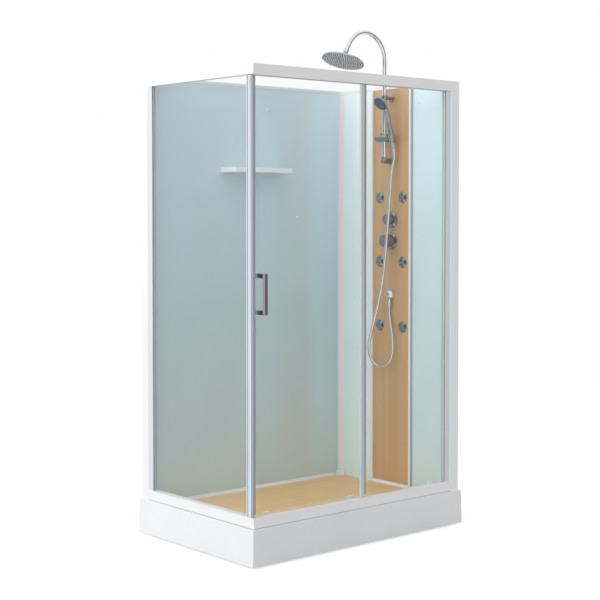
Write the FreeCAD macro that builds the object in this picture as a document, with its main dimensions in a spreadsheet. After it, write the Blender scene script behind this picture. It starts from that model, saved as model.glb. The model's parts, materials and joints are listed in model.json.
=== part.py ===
import FreeCAD, Part
import math
import os

import Sketcher

# Shower cabin, 1200 x 800 mm: a low tray on a steel frame, two glass walls, a corner entry
# with one sliding door, and a shower column with rain head, hand shower and six body jets.
# The frame of the part: +X runs along the door side, +Y from the door side to the back wall,
# +Z up. The origin lies on the floor under the middle of the tray.

# Driving dimensions in millimetres, angles in degrees
SIZES = {
    # Plan and heights of the cabin
    "tray_length": 1200.0,
    "tray_width": 800.0,
    "tray_top": 153.0,
    "frame_overhang": 10.0,
    "frame_top": 1990.0,
    "wall_inset": 60.0,
    "wall_thickness": 5.0,
    "joint_gap": 0.2,
    "overrun": 6.0,
    # Tray
    "tray_wall": 5.0,
    "basin_floor": 95.0,
    "basin_corner_radius": 30.0,
    "rim_width": 70.0,
    "ledge_top": 127.0,
    "ledge_front": 12.0,
    "ledge_back": 22.0,
    "ledge_left_end": 28.0,
    "ledge_right_end": 44.0,
    # Aprons on the two open sides
    "apron_thickness": 4.0,
    "apron_flare": 5.0,
    "apron_clearance": 6.0,
    # Steel frame under the tray
    "tube_side": 25.0,
    "tube_wall": 2.0,
    "tube_overhang": 40.0,
    "foot_inset_x": 100.0,
    "foot_inset_y": 100.0,
    "stud_radius": 6.0,
    "stud_clearance": 0.1,
    "stud_engagement": 15.0,
    "nut_radius": 11.0,
    "nut_height": 10.0,
    "pad_radius": 24.0,
    "pad_neck_radius": 14.0,
    "pad_height": 14.0,
    "pad_rim_height": 5.0,
    "pad_floor": 6.0,
    # Drain
    "drain_inset": 218.0,
    "drain_y": -20.0,
    "drain_hole_radius": 45.0,
    "drain_clearance": 1.0,
    "trap_wall": 4.0,
    "trap_bottom": 18.0,
    "trap_flange_radius": 56.0,
    "trap_flange_thickness": 5.0,
    "strainer_ring_thickness": 2.0,
    "strainer_ring_inner": 34.0,
    "waste_pipe_radius": 20.0,
    "waste_pipe_wall": 2.0,
    "waste_pipe_height": 42.0,
    "waste_pipe_margin": 40.0,
    "waste_spigot_length": 60.0,
    "waste_sleeve_step": 2.0,
    "cover_radius": 52.0,
    "cover_thickness": 3.5,
    "cover_skirt_radius": 31.0,
    "cover_skirt_depth": 9.0,
    # Bamboo floor board
    "plank_count": 10.0,
    "plank_gap": 4.0,
    "plank_thickness": 12.0,
    "board_clearance": 4.0,
    "batten_width": 40.0,
    "batten_end_inset": 70.0,
    "batten_inset": 16.0,
    # Rails of the two open sides
    "rail_height": 44.0,
    "side_rail_top_height": 42.0,
    "rail_depth": 48.0,
    "side_rail_depth": 32.0,
    "rail_wall": 3.0,
    "glass_thickness": 5.0,
    "side_glass_setback": 7.0,
    "front_glass_setback": 12.0,
    "glass_groove_depth": 16.0,
    "glass_groove_low": 12.0,
    "groove_clearance": 0.7,
    "door_setback": 29.0,
    "slot_front": 20.5,
    "ledge_thickness": 5.0,
    "track_inset": 35.5,
    "track_setback": 39.5,
    "track_rib_width": 3.0,
    "track_rib_height": 3.0,
    "chamber_back_wall": 2.5,
    "chamber_roof": 4.0,
    "low_track_height": 27.0,
    # Posts
    "left_post_width": 46.0,
    "left_post_depth": 35.0,
    "right_post_width": 50.0,
    "right_post_depth": 48.0,
    "post_flange": 20.0,
    "post_flange_depth": 24.0,
    "post_wall": 4.0,
    "back_post_side": 40.0,
    "back_post_flange": 35.0,
    "back_post_flange_wall": 6.0,
    # Trims of the two walls
    "trim_thickness": 1.5,
    "trim_height": 12.0,
    "trim_web": 4.0,
    "base_trim_height": 13.0,
    "base_trim_web": 2.0,
    "corner_trim_width": 18.0,
    "channel_width": 13.0,
    "channel_length": 28.0,
    "left_channel_length": 34.0,
    "channel_wall": 3.0,
    "channel_grip": 14.0,
    # Shower column
    "column_y": -20.0,
    "column_visible_width": 240.0,
    "joint_cap_width": 13.0,
    "joint_cap_height": 8.0,
    "joint_web": 3.0,
    "joint_web_depth": 15.0,
    "joint_tail": 12.0,
    "joint_tail_thickness": 2.5,
    "column_flange_depth": 25.0,
    "column_flange_wall": 4.0,
    # Side glass and its edge
    "edge_profile_width": 42.0,
    "edge_profile_thickness": 9.0,
    "edge_front_gap": 8.0,
    "edge_groove_depth": 14.0,
    "edge_nose_radius": 2.5,
    "edge_top_gap": 1.0,
    "seal_thickness": 3.0,
    "seal_width": 12.0,
    # Fixed front glass
    "fixed_edge_left": -6.0,
    "fixed_edge_width": 20.0,
    # Sliding door
    "door_profile_width": 12.0,
    "door_trail_end": 42.0,
    "door_trail_width": 20.0,
    "door_profile_grip": 7.0,
    "door_bottom_gap": 6.0,
    "door_top_rise": 9.0,
    # Door handle
    "handle_inset": 20.3,
    "handle_low": 1001.0,
    "handle_high": 1165.0,
    "handle_reach": 59.5,
    "handle_width": 10.0,
    "handle_depth": 10.6,
    "handle_arm_height": 18.0,
    "handle_corner_radius": 3.0,
    "handle_cap_radius": 8.0,
    "handle_cap_thickness": 4.0,
    # Door rollers
    "roller_lead_inset": 72.3,
    "roller_trail_inset": 87.0,
    "carrier_width": 19.0,
    "carrier_thickness": 3.0,
    "carrier_overlap": 7.0,
    "carrier_tail": 5.5,
    "axle_radius": 3.0,
    "axle_head_radius": 5.0,
    "axle_head_thickness": 1.0,
    "wheel_radius": 11.5,
    "wheel_groove_depth": 2.0,
    "wheel_groove_width": 3.4,
    "wheel_width": 6.0,
    "wheel_gap": 1.0,
    "bore_clearance": 0.05,
    "stop_length": 15.0,
    "stop_inset": 87.5,
    # Riser pipe with its bend
    "riser_standoff": 48.0,
    "riser_radius": 11.0,
    "riser_wall": 1.5,
    "riser_foot": 6.5,
    "bend_rise": 118.0,
    "bend_radius": 118.0,
    "bend_turn": 150.0,
    "tail_length": 45.0,
    "ball_radius": 9.0,
    "ball_clearance": 0.3,
    "ball_neck_radius": 4.5,
    "ball_neck_length": 14.0,
    "nut_disc": 4.0,
    "nut_sleeve": 12.0,
    "nut_wall": 1.5,
    # Riser brackets
    "low_bracket_radius": 12.5,
    "low_bracket_rise": 271.5,
    "socket_radius": 13.5,
    "socket_height": 18.5,
    "top_bracket_drop": 173.0,
    "ring_radius": 15.0,
    "ring_height": 22.0,
    "bracket_arm_radius": 7.0,
    "bracket_flange_radius": 17.0,
    "bracket_flange_thickness": 6.0,
    "bracket_tail": 14.0,
    # Rain head
    "head_radius": 97.5,
    "head_edge": 7.0,
    "head_dome": 19.0,
    "head_ball_height": 30.0,
    "head_socket_radius": 13.5,
    "head_socket_rise": 4.0,
    "head_shell": 2.5,
    "head_plate_thickness": 2.0,
    "head_plate_margin": 5.0,
    "head_tilt": 18.0,
    "head_roll": 2.0,
    # Slider on the riser
    "slider_rise": 104.5,
    "barrel_radius": 18.0,
    "barrel_left": 38.0,
    "barrel_right": 26.0,
    "knob_length": 13.0,
    "knob_radius": 15.0,
    "button_radius": 4.0,
    "button_height": 5.0,
    "button_offset": 20.0,
    # Handset holder
    "holder_offset_x": 4.0,
    "holder_offset_y": 45.0,
    "holder_boss_radius": 15.0,
    "holder_boss_length": 8.0,
    "holder_radius_top": 15.5,
    "holder_radius_low": 13.5,
    "holder_height": 36.0,
    "holder_cone_top": 12.0,
    "holder_cone_low": 10.0,
    "holder_slot": 15.0,
    "handset_lean": 14.0,
    # Hand shower
    "cone_clearance": 0.3,
    "handle_bottom": 24.0,
    "handle_waist_radius": 9.5,
    "handle_waist_height": 70.0,
    "handle_neck_radius": 10.5,
    "handle_top": 110.0,
    "neck_start": 108.0,
    "neck_low_radius": 10.0,
    "neck_top_radius": 10.5,
    "neck_length": 52.0,
    "neck_lean": 12.0,
    "spray_face_forward": 34.9,
    "spray_face_up": 165.9,
    "spray_tilt": 64.0,
    "spray_radius": 36.0,
    "spray_rim": 7.0,
    "spray_depth": 17.0,
    "spray_back_radius": 14.0,
    "spray_plate_radius": 31.0,
    "spray_plate_depth": 2.0,
    "hose_nut_radius": 9.0,
    "hose_nut_length": 26.0,
    # Hose
    "hose_radius": 7.0,
    "hose_first_run": 38.0,
    "hose_last_run": 54.0,
    # Wall outlet of the hose
    "outlet_z": 1022.0,
    "outlet_radius": 25.5,
    "outlet_rim": 8.0,
    "outlet_tail_radius": 8.0,
    "outlet_tail": 12.0,
    "spigot_standoff": 15.0,
    "spigot_radius": 9.5,
    "spigot_drop": 37.0,
    "outlet_nut_radius": 11.5,
    "outlet_nut_length": 13.0,
    # Mixer and diverter
    "mixer_z": 1273.0,
    "diverter_z": 1372.0,
    "plate_radius": 40.5,
    "plate_rim": 3.0,
    "plate_dome": 9.0,
    "plate_top_radius": 29.0,
    "spindle_radius": 6.0,
    "spindle_hole": 8.0,
    "knob_gap": 0.5,
    "mixer_knob_radius": 28.0,
    "mixer_knob_front": 55.0,
    "diverter_knob_radius": 23.5,
    "diverter_knob_front": 38.0,
    "knob_edge_radius": 2.5,
    "knob_cap": 5.0,
    "lever_radius": 3.0,
    "lever_reach": 68.0,
    "lever_setback": 20.0,
    "lever_angle": 20.0,
    "valve_front": 5.0,
    "valve_depth": 30.0,
    "valve_width": 36.0,
    "valve_margin": 33.0,
    "inlet_radius": 10.5,
    "inlet_wall": 2.5,
    "inlet_length": 20.0,
    "inlet_pitch": 60.0,
    "inlet_arm_height": 24.0,
    # Body jets
    "jet_pitch_y": 150.0,
    "jet_pitch_z": 300.0,
    "jet_middle_z": 1174.0,
    "jet_flange_radius": 26.0,
    "jet_flange_rim": 3.0,
    "jet_flange_height": 8.0,
    "jet_flange_shoulder": 18.0,
    "jet_ball_radius": 11.0,
    "jet_ball_clearance": 0.3,
    "jet_ball_sink": 1.0,
    "jet_flat": 9.5,
    "jet_tail_radius": 13.0,
    "jet_tail": 16.0,
    "jet_tail_floor": 4.0,
    # Pipes behind the column
    "pipe_radius": 6.0,
    "jet_arm_radius": 5.0,
    # Shelf on the back wall
    "shelf_left": -202.5,
    "shelf_length": 342.0,
    "shelf_depth": 102.5,
    "shelf_top": 1609.0,
    "shelf_thickness": 23.0,
    "shelf_recess": 6.0,
    "shelf_lip": 6.0,
    "shelf_corner_radius": 10.0,
}

# Each bend of the hose takes this share of the shorter of its two runs
BEND_SHARE = 0.45

# Places of the battens from the middle of the board, as shares of their spacing
BATTEN_SHARES = (-1.5, -0.5, 0.5, 1.5)

doc = FreeCAD.newDocument("ShowerCabin")
sheet = doc.addObject("Spreadsheet::Sheet", "Sizes")
nodes = []


class Size:
    """A length that keeps the sheet formula it was worked out from."""

    def __init__(self, value, formula):
        self.value = value
        self.formula = formula

    def _join(self, other, value, sign, swap=False):
        left, right = (other, self) if swap else (self, other)
        return Size(value, f"({left.formula} {sign} {right.formula})")

    def __add__(self, other):
        other = as_size(other)
        return self._join(other, self.value + other.value, "+")

    def __radd__(self, other):
        return as_size(other) + self

    def __sub__(self, other):
        other = as_size(other)
        return self._join(other, self.value - other.value, "-")

    def __rsub__(self, other):
        return as_size(other) - self

    def __mul__(self, other):
        other = as_size(other)
        return self._join(other, self.value * other.value, "*")

    def __rmul__(self, other):
        return as_size(other) * self

    def __truediv__(self, other):
        other = as_size(other)
        return self._join(other, self.value / other.value, "/")

    def __neg__(self):
        return Size(-self.value, f"(0 - {self.formula})")


def as_size(item):
    if isinstance(item, Size):
        return item
    return Size(float(item), repr(float(item)))


def sine(angle):
    return Size(math.sin(math.radians(angle.value)), f"sin({angle.formula} * 1 deg)")


def cosine(angle):
    return Size(math.cos(math.radians(angle.value)), f"cos({angle.formula} * 1 deg)")


class Sheet:
    """The driving dimensions by name, each bound to its cell."""

    def __init__(self, table):
        for row, (alias, value) in enumerate(table.items(), start=1):
            cell = f"B{row}"
            sheet.set(f"A{row}", alias)
            sheet.set(cell, repr(value))
            sheet.setAlias(cell, alias)
            setattr(self, alias, Size(value, f"Sizes.{alias}"))


s = Sheet(SIZES)
doc.recompute()
zero = as_size(0)


# Helpers that place and draw


def node(item, label):
    """Names a finished sub-part; its label is the name of its file."""
    item.Label = label
    nodes.append(item)
    return item


def bind(item, prop, size):
    item.setExpression(prop, as_size(size).formula)


def place(item, x=zero, y=zero, z=zero):
    for axis, size in zip("xyz", (x, y, z)):
        bind(item, f"Placement.Base.{axis}", size)
    return item


def origin_plane(body, role):
    for feature in body.Origin.OriginFeatures:
        if feature.Role == role:
            return feature
    raise ValueError(role)


def new_body(name):
    return doc.addObject("PartDesign::Body", name)


def new_sketch(body, role, height=zero):
    """A sketch on one origin plane of its body, lifted along the plane's positive axis."""
    sketch = body.newObject("Sketcher::SketchObject", body.Name + "_sketch")
    sketch.AttachmentSupport = [(origin_plane(body, role), "")]
    sketch.MapMode = "FlatFace"
    # The XZ plane looks towards -Y, so a lift towards +Y is negative there
    lift = -as_size(height) if role == "XZ_Plane" else as_size(height)
    bind(sketch, "AttachmentOffset.Base.z", lift)
    return sketch


def fix_point(sketch, index, end, x, y):
    """Pins one end of a line, or a centre, to its place from the sketch's origin."""
    for kind, size in (("DistanceX", as_size(x)), ("DistanceY", as_size(y))):
        row = sketch.addConstraint(Sketcher.Constraint(kind, -1, 1, index, end, size.value))
        sketch.setExpression(f"Constraints[{row}]", size.formula)


def polygon(sketch, points):
    """A closed outline of straight lines through the given points."""
    points = [(as_size(x), as_size(y)) for x, y in points]
    first = sketch.GeometryCount
    count = len(points)
    corners = [FreeCAD.Vector(x.value, y.value, 0) for x, y in points]
    for i in range(count):
        sketch.addGeometry(Part.LineSegment(corners[i], corners[(i + 1) % count]), False)
    for i in range(count):
        ends = (first + i, 2, first + (i + 1) % count, 1)
        sketch.addConstraint(Sketcher.Constraint("Coincident", *ends))
    for i, (x, y) in enumerate(points):
        fix_point(sketch, first + i, 1, x, y)


def rectangle(sketch, x0, x1, y0, y1):
    polygon(sketch, [(x0, y0), (x1, y0), (x1, y1), (x0, y1)])


def circle(sketch, x, y, radius):
    centre = FreeCAD.Vector(as_size(x).value, as_size(y).value, 0)
    up = FreeCAD.Vector(0, 0, 1)
    index = sketch.addGeometry(Part.Circle(centre, up, radius.value), False)
    fix_point(sketch, index, 3, x, y)
    row = sketch.addConstraint(Sketcher.Constraint("Radius", index, radius.value))
    sketch.setExpression(f"Constraints[{row}]", radius.formula)


def outline(sketch, moves):
    """A closed outline of lines and arcs: (x, y) for a corner that ends a line, and
    (x, y, cx, cy, turn) for one that ends an arc about (cx, cy), turn 1 anticlockwise."""
    first = sketch.GeometryCount
    count = len(moves)
    for i, move in enumerate(moves):
        start = moves[i - 1]
        a = FreeCAD.Vector(as_size(start[0]).value, as_size(start[1]).value, 0)
        b = FreeCAD.Vector(as_size(move[0]).value, as_size(move[1]).value, 0)
        if len(move) == 2:
            sketch.addGeometry(Part.LineSegment(a, b), False)
            continue
        centre = FreeCAD.Vector(as_size(move[2]).value, as_size(move[3]).value, 0)
        low, high = (a, b) if move[4] > 0 else (b, a)
        angles = [math.atan2(p.y - centre.y, p.x - centre.x) for p in (low, high)]
        full = Part.Circle(centre, FreeCAD.Vector(0, 0, 1), (a - centre).Length)
        sketch.addGeometry(Part.ArcOfCircle(full, angles[0], angles[1]), False)
    for i, move in enumerate(moves):
        after = moves[(i + 1) % count]
        end = 1 if len(move) == 5 and move[4] < 0 else 2
        start = 2 if len(after) == 5 and after[4] < 0 else 1
        ends = (first + i, end, first + (i + 1) % count, start)
        sketch.addConstraint(Sketcher.Constraint("Coincident", *ends))
    for i, move in enumerate(moves):
        end = 1 if len(move) == 5 and move[4] < 0 else 2
        fix_point(sketch, first + i, end, move[0], move[1])
        if len(move) == 5:
            pin_arc_centre(sketch, first + i, moves[i - 1], move)


def pin_arc_centre(sketch, index, start, move):
    """An arc whose ends are fixed needs one more size: its centre along one axis."""
    across = abs(as_size(start[0]).value - as_size(move[0]).value)
    along = abs(as_size(start[1]).value - as_size(move[1]).value)
    kind, size = ("DistanceX", move[2]) if along > across else ("DistanceY", move[3])
    size = as_size(size)
    row = sketch.addConstraint(Sketcher.Constraint(kind, -1, 1, index, 3, size.value))
    sketch.setExpression(f"Constraints[{row}]", size.formula)


def pad(body, sketch, length):
    """Adds material from the sketch towards the plane's positive axis."""
    feature = body.newObject("PartDesign::Pad", body.Name + "_pad")
    feature.Profile = sketch
    bind(feature, "Length", length)
    feature.Reversed = on_xz(sketch)
    sketch.Visibility = False
    return feature


def pocket(body, sketch, length):
    """Takes material from the sketch towards the plane's positive axis."""
    feature = body.newObject("PartDesign::Pocket", body.Name + "_pocket")
    feature.Profile = sketch
    bind(feature, "Length", length)
    feature.Reversed = not on_xz(sketch)
    return feature


def on_xz(sketch):
    return sketch.AttachmentSupport[0][0].Role == "XZ_Plane"


def extrusion(name, role, start, end, *loops):
    """A straight profile between two planes, from one closed outline or several."""
    body = new_body(name)
    sketch = new_sketch(body, role, start)
    for points in loops:
        polygon(sketch, points)
    pad(body, sketch, end - start)
    return body


def cut_prism(body, role, start, end, *loops):
    sketch = new_sketch(body, role, start)
    for points in loops:
        polygon(sketch, points)
    return pocket(body, sketch, end - start)


def cut_circles(body, role, start, end, *circles):
    sketch = new_sketch(body, role, start)
    for x, y, radius in circles:
        circle(sketch, x, y, radius)
    return pocket(body, sketch, end - start)


def box_points(x0, x1, y0, y1):
    return [(x0, y0), (x1, y0), (x1, y1), (x0, y1)]


def turned(name, moves):
    """A turned piece: the outline lies in the body's XZ plane and turns about its Z axis."""
    body = new_body(name)
    sketch = new_sketch(body, "XZ_Plane")
    outline(sketch, moves)
    feature = body.newObject("PartDesign::Revolution", name + "_turn")
    feature.Profile = sketch
    feature.ReferenceAxis = (sketch, ["V_Axis"])
    feature.Angle = 360
    return body


def cylinder(name, radius, length, x=zero, y=zero, z=zero, axis="z"):
    """A straight round bar from its base point towards +X, +Y or +Z."""
    item = doc.addObject("Part::Cylinder", name)
    bind(item, "Radius", radius)
    bind(item, "Height", length)
    turns = {"z": ((0, 0, 1), 0), "x": ((0, 1, 0), 90), "y": ((1, 0, 0), -90)}
    direction, angle = turns[axis]
    turn = FreeCAD.Rotation(FreeCAD.Vector(*direction), angle)
    item.Placement = FreeCAD.Placement(FreeCAD.Vector(), turn)
    return place(item, x, y, z)


def block(name, x0, x1, y0, y1, z0, z1):
    item = doc.addObject("Part::Box", name)
    bind(item, "Length", x1 - x0)
    bind(item, "Width", y1 - y0)
    bind(item, "Height", z1 - z0)
    return place(item, x0, y0, z0)


def fuse(name, *items):
    item = doc.addObject("Part::MultiFuse", name)
    item.Shapes = list(items)
    item.Refine = True
    return item


def cut(name, base, tool):
    item = doc.addObject("Part::Cut", name)
    item.Base = base
    item.Tool = tool
    item.Refine = True
    return item


def group(name, *items):
    """Separate solids that share one node."""
    item = doc.addObject("Part::Compound", name)
    item.Links = list(items)
    return item


def facing_wall(body, x, y, z):
    """Turns a piece made about Z so that its +Z points away from the column, along -X."""
    turn = FreeCAD.Rotation(FreeCAD.Vector(0, 1, 0), -90)
    body.Placement = FreeCAD.Placement(FreeCAD.Vector(), turn)
    return place(body, x, y, z)


# Places that several pieces share

half_length = s.tray_length / 2
half_width = s.tray_width / 2
frame_x = half_length - s.frame_overhang
frame_y = half_width - s.frame_overhang
wall_x = frame_x - s.wall_inset
wall_y = frame_y - s.wall_inset
wall_back_x = wall_x + s.wall_thickness
wall_back_y = wall_y + s.wall_thickness
low_rail_top = s.tray_top + s.rail_height
top_rail_low = s.frame_top - s.rail_height
side_rail_low = s.frame_top - s.side_rail_top_height
half_glass = s.glass_thickness / 2
half_groove = half_glass + s.groove_clearance
drain_x = wall_x - s.ledge_front - s.drain_inset
foot_row_x = half_length - s.foot_inset_x
foot_row_y = half_width - s.foot_inset_y

# The tray


def make_tray():
    basin_floor_low = s.basin_floor - s.tray_wall
    left = -half_length + s.apron_thickness
    front = -half_width + s.apron_thickness
    basin_left = -half_length + s.rim_width
    basin_front = -half_width + s.rim_width
    basin_right = wall_x - s.ledge_front
    basin_back = wall_y - s.ledge_front
    ledge_right = wall_x + s.ledge_back
    ledge_back = wall_y + s.ledge_back
    ledge_low = s.ledge_top - s.tray_wall

    body = extrusion(
        "tray", "XY_Plane", basin_floor_low, s.tray_top,
        box_points(left, half_length, front, half_width),
    )
    # Hollow underside between the outer skirt and the basin
    skirt = box_points(left + s.tray_wall, half_length - s.tray_wall,
                       front + s.tray_wall, half_width - s.tray_wall)
    basin_outside = box_points(basin_left - s.tray_wall, basin_right + s.tray_wall,
                               basin_front - s.tray_wall, basin_back + s.tray_wall)
    cut_prism(body, "XY_Plane", basin_floor_low, ledge_low, skirt, basin_outside)
    rim_hollow = [
        (left + s.tray_wall, front + s.tray_wall),
        (half_length - s.tray_wall, front + s.tray_wall),
        (half_length - s.tray_wall, basin_front - s.tray_wall),
        (basin_left - s.tray_wall, basin_front - s.tray_wall),
        (basin_left - s.tray_wall, half_width - s.tray_wall),
        (left + s.tray_wall, half_width - s.tray_wall),
    ]
    cut_prism(body, "XY_Plane", basin_floor_low, s.tray_top - s.tray_wall, rim_hollow)
    # Basin with rounded corners, and the ledge that carries the two walls
    sketch = new_sketch(body, "XY_Plane", s.basin_floor)
    rounded_rectangle(sketch, basin_left, basin_right, basin_front, basin_back,
                      s.basin_corner_radius)
    pocket(body, sketch, s.tray_top - s.basin_floor)
    ledge = [
        (-frame_x + s.ledge_left_end, ledge_back),
        (-frame_x + s.ledge_left_end, basin_back),
        (basin_right, basin_back),
        (basin_right, -frame_y + s.ledge_right_end),
        (ledge_right, -frame_y + s.ledge_right_end),
        (ledge_right, ledge_back),
    ]
    cut_prism(body, "XY_Plane", s.ledge_top, s.tray_top, ledge)
    cut_circles(body, "XY_Plane", basin_floor_low, s.basin_floor,
                (drain_x, s.drain_y, s.drain_hole_radius))
    node(body, "tray")


def rounded_rectangle(sketch, x0, x1, y0, y1, radius):
    outline(sketch, [
        (x1 - radius, y0),
        (x1, y0 + radius, x1 - radius, y0 + radius, 1),
        (x1, y1 - radius),
        (x1 - radius, y1, x1 - radius, y1 - radius, 1),
        (x0 + radius, y1),
        (x0, y1 - radius, x0 + radius, y1 - radius, 1),
        (x0, y0 + radius),
        (x0 + radius, y0, x0 + radius, y0 + radius, 1),
    ])


def make_apron(label, corners_top, corners_low):
    """A thin flared panel: its plan at the rim and its plan just above the floor."""
    body = new_body(label)
    top = new_sketch(body, "XY_Plane", s.tray_top)
    polygon(top, corners_top)
    low = new_sketch(body, "XY_Plane", s.apron_clearance)
    polygon(low, corners_low)
    loft = body.newObject("PartDesign::AdditiveLoft", label + "_loft")
    loft.Profile = top
    loft.Sections = [low]
    loft.Ruled = True
    node(body, label)


def make_aprons():
    left, front, right, back = -half_length, -half_width, half_length, half_width
    thick, flare = s.apron_thickness, s.apron_flare
    make_apron(
        "front_apron",
        [(left, front), (right, front), (right, front + thick), (left + thick, front + thick)],
        [(left - flare, front - flare), (right, front - flare),
         (right, front - flare + thick), (left - flare + thick, front - flare + thick)],
    )
    make_apron(
        "side_apron",
        [(left, front), (left + thick, front + thick), (left + thick, back), (left, back)],
        [(left - flare, front - flare), (left - flare + thick, front - flare + thick),
         (left - flare + thick, back), (left - flare, back)],
    )


# The steel frame and its levelling feet


def foot_places():
    places = []
    for x_side in (-1, 0, 1):
        for y_side in (-1, 1):
            places.append((x_side * foot_row_x, y_side * foot_row_y))
    places.append((zero, zero))
    return places


def make_base_frame():
    top = s.basin_floor - s.tray_wall
    low = top - s.tube_side
    half = s.tube_side / 2
    wall = s.tube_wall
    hole = s.stud_radius + s.stud_clearance
    end_x = foot_row_x + s.tube_overhang
    tubes = []
    for side in (-1, 1):
        y = side * foot_row_y
        tube = extrusion(
            "long_tube", "YZ_Plane", -end_x, end_x,
            box_points(y - half, y + half, low, top),
            box_points(y - half + wall, y + half - wall, low + wall, top - wall),
        )
        holes = [(x_side * foot_row_x, y, hole) for x_side in (-1, 0, 1)]
        cut_circles(tube, "XY_Plane", low, low + wall, *holes)
        tubes.append(tube)
    inner = foot_row_y - half
    for x_side in (-1, 0, 1):
        x = x_side * foot_row_x
        tube = extrusion(
            "cross_tube", "XZ_Plane", -inner, inner,
            box_points(x - half, x + half, low, top),
            box_points(x - half + wall, x + half - wall, low + wall, top - wall),
        )
        if x_side == 0:
            cut_circles(tube, "XY_Plane", low, low + wall, (zero, zero, hole))
        tubes.append(tube)
    node(group("base_frame", *tubes), "base_frame")
    return low


def make_feet(tube_low):
    pads = []
    studs = []
    socket = s.stud_radius + s.stud_clearance
    for x, y in foot_places():
        foot = turned("foot_pad", [
            (zero, zero),
            (s.pad_radius, zero),
            (s.pad_radius, s.pad_rim_height),
            (s.pad_neck_radius, s.pad_height),
            (socket, s.pad_height),
            (socket, s.pad_floor),
            (zero, s.pad_floor),
        ])
        pads.append(place(foot, x, y))
        stud = cylinder("foot_stud", s.stud_radius,
                        tube_low + s.stud_engagement - s.pad_floor - s.joint_gap,
                        x, y, s.pad_floor + s.joint_gap)
        nut = extrusion("foot_nut", "XY_Plane", tube_low - s.nut_height, tube_low,
                        hexagon(s.nut_radius))
        cut_circles(nut, "XY_Plane", tube_low - s.nut_height, tube_low, (zero, zero, socket))
        studs.append(stud)
        studs.append(place(nut, x, y))
    node(group("foot_pads", *pads), "foot_pads")
    node(group("foot_studs", *studs), "foot_studs")


def hexagon(radius):
    """Corners of a regular hexagon about the origin."""
    half = radius / 2
    high = radius * sine(as_size(60))
    return [(radius, zero), (half, high), (-half, high),
            (-radius, zero), (-half, -high), (half, -high)]


# Drain and floor board


def make_drain():
    waste_end = half_length - s.waste_pipe_margin
    floor = s.basin_floor
    under = floor - s.tray_wall
    neck = s.drain_hole_radius - s.drain_clearance
    inside = neck - s.trap_wall
    bottom = s.trap_bottom
    shell = turned("trap_shell", [
        (zero, bottom),
        (neck, bottom),
        (neck, under - s.trap_flange_thickness),
        (s.trap_flange_radius, under - s.trap_flange_thickness),
        (s.trap_flange_radius, under),
        (neck, under),
        (neck, floor),
        (inside, floor),
        (inside, bottom + s.trap_wall),
        (zero, bottom + s.trap_wall),
    ])
    place(shell, drain_x, s.drain_y)
    start = drain_x + inside + s.trap_wall / 2
    outer = cylinder("waste_outer", s.waste_pipe_radius, waste_end - start,
                     start, s.drain_y, s.waste_pipe_height, "x")
    sleeve = cylinder("waste_sleeve", s.waste_pipe_radius + s.waste_sleeve_step,
                      waste_end - s.waste_spigot_length - start,
                      start, s.drain_y, s.waste_pipe_height, "x")
    bore_start = start - s.trap_wall
    bore = cylinder("waste_bore", s.waste_pipe_radius - s.waste_pipe_wall,
                    waste_end + s.overrun - bore_start,
                    bore_start, s.drain_y, s.waste_pipe_height, "x")
    trap = cut("trap", fuse("trap_solid", shell, outer, sleeve), bore)
    ring = turned("strainer_ring", [
        (s.strainer_ring_inner, floor),
        (s.trap_flange_radius, floor),
        (s.trap_flange_radius, floor + s.strainer_ring_thickness),
        (s.strainer_ring_inner, floor + s.strainer_ring_thickness),
    ])
    place(ring, drain_x, s.drain_y)
    node(group("drain_trap", trap, ring), "drain_trap")

    seat = floor + s.strainer_ring_thickness + s.joint_gap
    cover = turned("drain_cover", [
        (s.cover_skirt_radius, seat),
        (s.cover_radius, seat),
        (s.cover_radius, seat + s.cover_thickness / 2),
        (s.cover_radius - s.cover_thickness, seat + s.cover_thickness),
        (zero, seat + s.cover_thickness),
        (zero, seat),
        (s.cover_skirt_radius - s.cover_thickness, seat),
        (s.cover_skirt_radius - s.cover_thickness, seat - s.cover_skirt_depth),
        (s.cover_skirt_radius, seat - s.cover_skirt_depth),
    ])
    node(place(cover, drain_x, s.drain_y), "drain_cover")


def make_floor_board():
    clear = s.board_clearance
    left = -half_length + s.rim_width + clear
    right = wall_x - s.ledge_front - clear
    front = -half_width + s.rim_width + clear
    back = wall_y - s.ledge_front - clear
    low = s.ledge_top - s.plank_thickness
    pitch = (back - front + s.plank_gap) / s.plank_count
    body = new_body("planks")
    sketch = new_sketch(body, "XY_Plane", low)
    rectangle(sketch, left, right, front, front + pitch - s.plank_gap)
    pad(body, sketch, s.plank_thickness)
    row = body.Tip
    rows = body.newObject("PartDesign::LinearPattern", "plank_rows")
    rows.Originals = [row]
    rows.Direction = (sketch, ["V_Axis"])
    bind(rows, "Length", back - front + s.plank_gap - pitch)
    bind(rows, "Occurrences", s.plank_count)
    body.Tip = rows
    corners = new_body("board_outline")
    sketch = new_sketch(corners, "XY_Plane", low)
    rounded_rectangle(sketch, left, right, front, back, s.basin_corner_radius - clear)
    pad(corners, sketch, s.plank_thickness)
    planks = doc.addObject("Part::Common", "rounded_planks")
    planks.Base = body
    planks.Tool = corners
    battens = []
    foot = s.basin_floor + 2 * s.joint_gap
    middle = (left + right) / 2
    spacing = (right - left - 2 * s.batten_end_inset) / (len(BATTEN_SHARES) - 1)
    for share in BATTEN_SHARES:
        x = middle + share * spacing
        battens.append(block(
            "batten", x - s.batten_width / 2, x + s.batten_width / 2,
            front + s.batten_inset, back - s.batten_inset, foot, low))
    node(group("floor_board", planks, *battens), "floor_board")


# Posts and rails


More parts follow.
